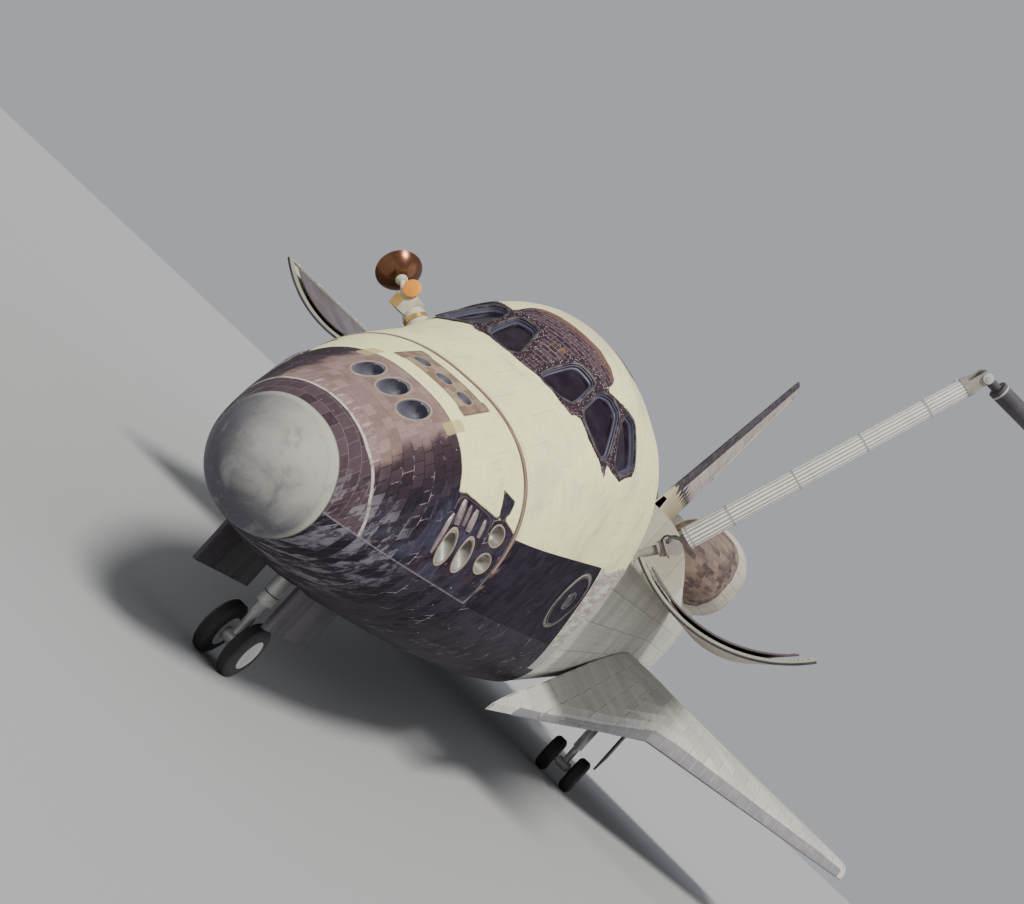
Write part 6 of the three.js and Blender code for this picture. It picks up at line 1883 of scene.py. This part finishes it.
WELL_INNER = WELL_HALF - WELL_SHEET
well = [box_mesh((-WELL_HALF, WELL_FRONT, 1290), (WELL_HALF, WELL_REAR, 1330))]
for x0, x1, y0, y1 in (
    (-WELL_HALF, -WELL_INNER, WELL_FRONT, WELL_REAR), (WELL_INNER, WELL_HALF, WELL_FRONT, WELL_REAR),
    (-WELL_INNER, WELL_INNER, WELL_FRONT, WELL_FRONT + WELL_SHEET),
    (-WELL_INNER, WELL_INNER, WELL_REAR - WELL_SHEET, WELL_REAR),
):
    well.append(well_wall(x0, x1, y0, y1))
for y in np.linspace(2500, 4150, 7):
    well.append(box_mesh((-600, y - 14, 1250), (600, y + 14, 1290)))
build("nose_well_lining", *merged(*well), STRUCTURE)


# ---------------------------------------------------------------- robot arm

SHOULDER = V(2743, 11265, 4185)
UPPER_LENGTH, FORE_LENGTH = 6380, 7060
ARM_YAW, ARM_TILT = math.radians(25.05), math.radians(34.3)
TILT_COS, TILT_SIN = math.cos(ARM_TILT), math.sin(ARM_TILT)


def arm_direction(elevation):
    e = math.radians(elevation)
    out, aft, up = math.cos(e) * math.cos(ARM_YAW), math.cos(e) * math.sin(ARM_YAW), math.sin(e)
    return V(out * TILT_COS + up * TILT_SIN, aft, -out * TILT_SIN + up * TILT_COS)


YAW_AXIS = V(TILT_SIN, 0, TILT_COS)
PITCH_AXIS = arm_direction(0).cross(YAW_AXIS).normalized()
UPPER_AIM, FORE_AIM, WRIST_AIM = arm_direction(105.6), arm_direction(31.0), arm_direction(-54.0)
ELBOW = SHOULDER + UPPER_AIM * UPPER_LENGTH
WRIST = ELBOW + FORE_AIM * FORE_LENGTH


def wrapped_boom(origin, aim, start, end, r0, r1, bands):
    """A boom in a fabric sleeve: shallow folds, and a strap at each band."""
    profile = []
    count = 90
    for i in range(count + 1):
        d = start + (end - start) * i / count
        r = r0 + (r1 - r0) * i / count
        profile.append((r - 1.2 + 0.12 * math.sin(i * 1.9) * math.cos(i * 0.7), d))
    profile = [(r0 * 0.75, start - 8)] + profile + [(r1 * 0.75, end + 8)]
    sleeve = lathe_mesh(profile, origin, aim, 56)
    straps = []
    for k in bands:
        d, r = start + (end - start) * k, r0 + (r1 - r0) * k
        strap = [(r - 8, d - 22), (r + 1, d - 19), (r + 1, d + 19), (r - 8, d + 22)]
        straps.append(lathe_mesh(strap, origin, aim, 56, True))
    return sleeve, merged(*straps)


upper_bands, fore_bands = (0.012, 0.16, 0.4, 0.64, 0.86, 0.988), (0.012, 0.2, 0.45, 0.7, 0.988)
sleeve, straps = wrapped_boom(SHOULDER, UPPER_AIM, 270, 6040, 217, 178, upper_bands)
build("arm_upper_sleeve", *sleeve, BOOM_CLOTH, "arm_upper_boom", 40)
build("arm_upper_straps", *straps, STRAP_CLOTH, "arm_upper_boom")
sleeve, straps = wrapped_boom(ELBOW, FORE_AIM, 335, 6725, 174, 162, fore_bands)
build("arm_forearm_sleeve", *sleeve, DARK_CLOTH, "arm_forearm", 40)
build("arm_forearm_straps", *straps, STRAP_CLOTH, "arm_forearm")

elbow_bits = []
for s in (1, -1):
    c = ELBOW + PITCH_AXIS * (s * 178)
    elbow_bits.append(
        lathe_mesh([(1, 0), (96, 0), (96, 26), (40, 34), (40, 52), (1, 52)], c, PITCH_AXIS * s, 40)
    )
cam = ELBOW - UPPER_AIM * 360 - PITCH_AXIS * 292
elbow_bits.append(tube_mesh([tuple(cam), tuple(cam + PITCH_AXIS * 125)], 34, 16))
look = (UPPER_AIM * 0.6 + FORE_AIM * 0.8).normalized()
elbow_bits.append(
    lathe_mesh(
        [(1, -130), (62, -130), (68, -110), (68, 70), (54, 90), (54, 130), (44, 130), (44, 96), (1, 92)],
        cam, look, 32,
    )
)
build("arm_elbow_camera", *merged(*elbow_bits), GEAR_METAL, "arm_upper_boom")

cable = []
forward = PITCH_AXIS.cross(YAW_AXIS)
for s, lift in ((1, 1.0), (-1, 0.9)):
    path = [
        SHOULDER - YAW_AXIS * down + PITCH_AXIS * (s * apart) + forward * (out * lift)
        for down, apart, out in ((210, 60, 170), (150, 52, 225), (80, 46, 235), (20, 40, 200))
    ]
    fine = [tuple(p.lerp(q, k / 6)) for p, q in zip(path, path[1:]) for k in range(6)]
    cable.append(tube_mesh([*fine, tuple(path[-1])], 17, 10))
build("arm_shoulder_cables", *merged(*cable), EDGE_BLACK, "arm_shoulder")

end = WRIST + WRIST_AIM * 900
rings = [
    lathe_mesh([(160, d - 14), (174, d - 10), (174, d + 10), (160, d + 14)], end, WRIST_AIM, 48, True)
    for d in (160, 420, 700, 880)
]
build("arm_end_rings", *merged(*rings), DARK_METAL, "arm_end_effector")


# ---------------------------------------------------------------- dish antenna

APEX, DISH_AIM = V(-4200, 9280, 4440), V(-0.78, 0.52, 0.35).normalized()
DRUM_PLACE, DRUM_AIM = (-3600, 9280, 4110), (0.9, 0, -0.38)
BOWL = [
    (1, 0), (60, 3), (120, 14), (180, 36), (240, 68), (310, 122), (380, 190), (425, 248), (457, 300),
    (452, 306), (418, 255), (370, 200), (300, 134), (230, 84), (170, 52), (110, 30), (50, 20), (1, 19),
]
build(
    "antenna_bowl", *lathe_mesh(BOWL, APEX, DISH_AIM, 96), GOLD, "antenna", 30, "dish_gold", "antenna_dish",
)
feed = [lathe_mesh([(30, 10), (26, 200), (40, 250), (66, 300), (66, 326), (1, 330)], APEX, DISH_AIM, 40)]
d, a, b = axes_of(DISH_AIM)
for t in circle(3):
    foot = APEX + (a * math.cos(t) + b * math.sin(t)) * 360 + d * 175
    feed.append(tube_mesh([tuple(foot), tuple(APEX + d * 290)], 9, 8))
build("antenna_feed", *merged(*feed), LATCH, "antenna")
bits = [box_mesh((-3975, 9025, 3955), (-3585, 9535, 4375), 22)]
drum = [(190, 0), (228, 60), (228, 380), (180, 480), (60, 490)]
bits.append(lathe_mesh(drum, DRUM_PLACE, DRUM_AIM, 48))
mast = [(-2270, 9150, 3560), (-2600, 9170, 3700), (-3000, 9210, 3860), (-3440, 9260, 4050)]
bits.append(tube_mesh(mast, 48, 20))
bits.append(lathe_mesh([(75, -100), (75, 100)], (-2270, 9150, 3560), (0, 1, 0), 32))
neck = [(-3940, 9280, 4240), tuple(APEX - DISH_AIM * 60), tuple(APEX - DISH_AIM * 4)]
bits.append(tube_mesh(neck, [52, 48, 46], 20))
bits.append(lathe_mesh([(120, -14), (120, -4), (46, -2), (46, -60), (70, -60)], APEX, DISH_AIM, 40, True))
build("antenna_gimbal", *merged(*bits), ANTENNA_WHITE, "antenna", 35, "antenna_metal", "antenna_mast")
disc = lathe_mesh(
    [(1, 0), (170, 0), (176, 14), (176, 40), (150, 52), (1, 56)], (-3790, 9014, 4420), (0, -1, 0.12),
)
build("antenna_orange_disc", *disc, ORANGE, "antenna")
wrap = [(228, 130), (242, 140), (242, 220), (228, 230)]
foil = [lathe_mesh(wrap, DRUM_PLACE, DRUM_AIM, 48, True)]
foil.append(box_mesh((-3980, 9010, 3960), (-3780, 9022, 4200), 4))
build("antenna_foil", *merged(*foil), FOIL, "antenna")


# ---------------------------------------------------------------- floor and light

FLOOR_HALF = 4000
# Rows: name, direction to the light, strength, spread in degrees, colour
SUNS = (
    ("key", (0.28, -0.62, 0.74), 4.2, 14, (1.0, 0.975, 0.91)),
    ("fill", (0.85, 0.1, 0.35), 0.5, 50, (0.9, 0.93, 1.0)),
)
SKY_COLOUR, SKY_STRENGTH = (0.88, 0.92, 1.0, 1), 0.46


def floor_and_light():
    mesh = bpy.data.meshes.new("floor")
    corners = [(x * FLOOR_HALF, y * FLOOR_HALF, 0) for x, y in ((-1, -1), (1, -1), (1, 1), (-1, 1))]
    mesh.from_pydata(corners, [], [(0, 1, 2, 3)])
    paint = Paint("floor_grey", roughness=0.9)
    cloud = paint.noise(paint.place(), 0.08, 3)
    mesh.materials.append(paint.finish(paint.mix(cloud, (0.38, 0.38, 0.385), (0.41, 0.41, 0.41))))
    floor = bpy.data.objects.new("floor", mesh)
    COLLECTION.objects.link(floor)
    for name, source, energy, spread, colour in SUNS:
        data = bpy.data.lights.new(name, "SUN")
        data.energy = energy
        data.angle = math.radians(spread)
        data.color = colour
        light = bpy.data.objects.new(name, data)
        light.rotation_euler = Vector(source).to_track_quat("Z", "Y").to_euler()
        COLLECTION.objects.link(light)
    world = bpy.data.worlds.new("studio")
    world.use_nodes = True
    sky = world.node_tree.nodes["Background"]
    sky.inputs["Color"].default_value = SKY_COLOUR
    sky.inputs["Strength"].default_value = SKY_STRENGTH
    bpy.context.scene.world = world


floor_and_light()
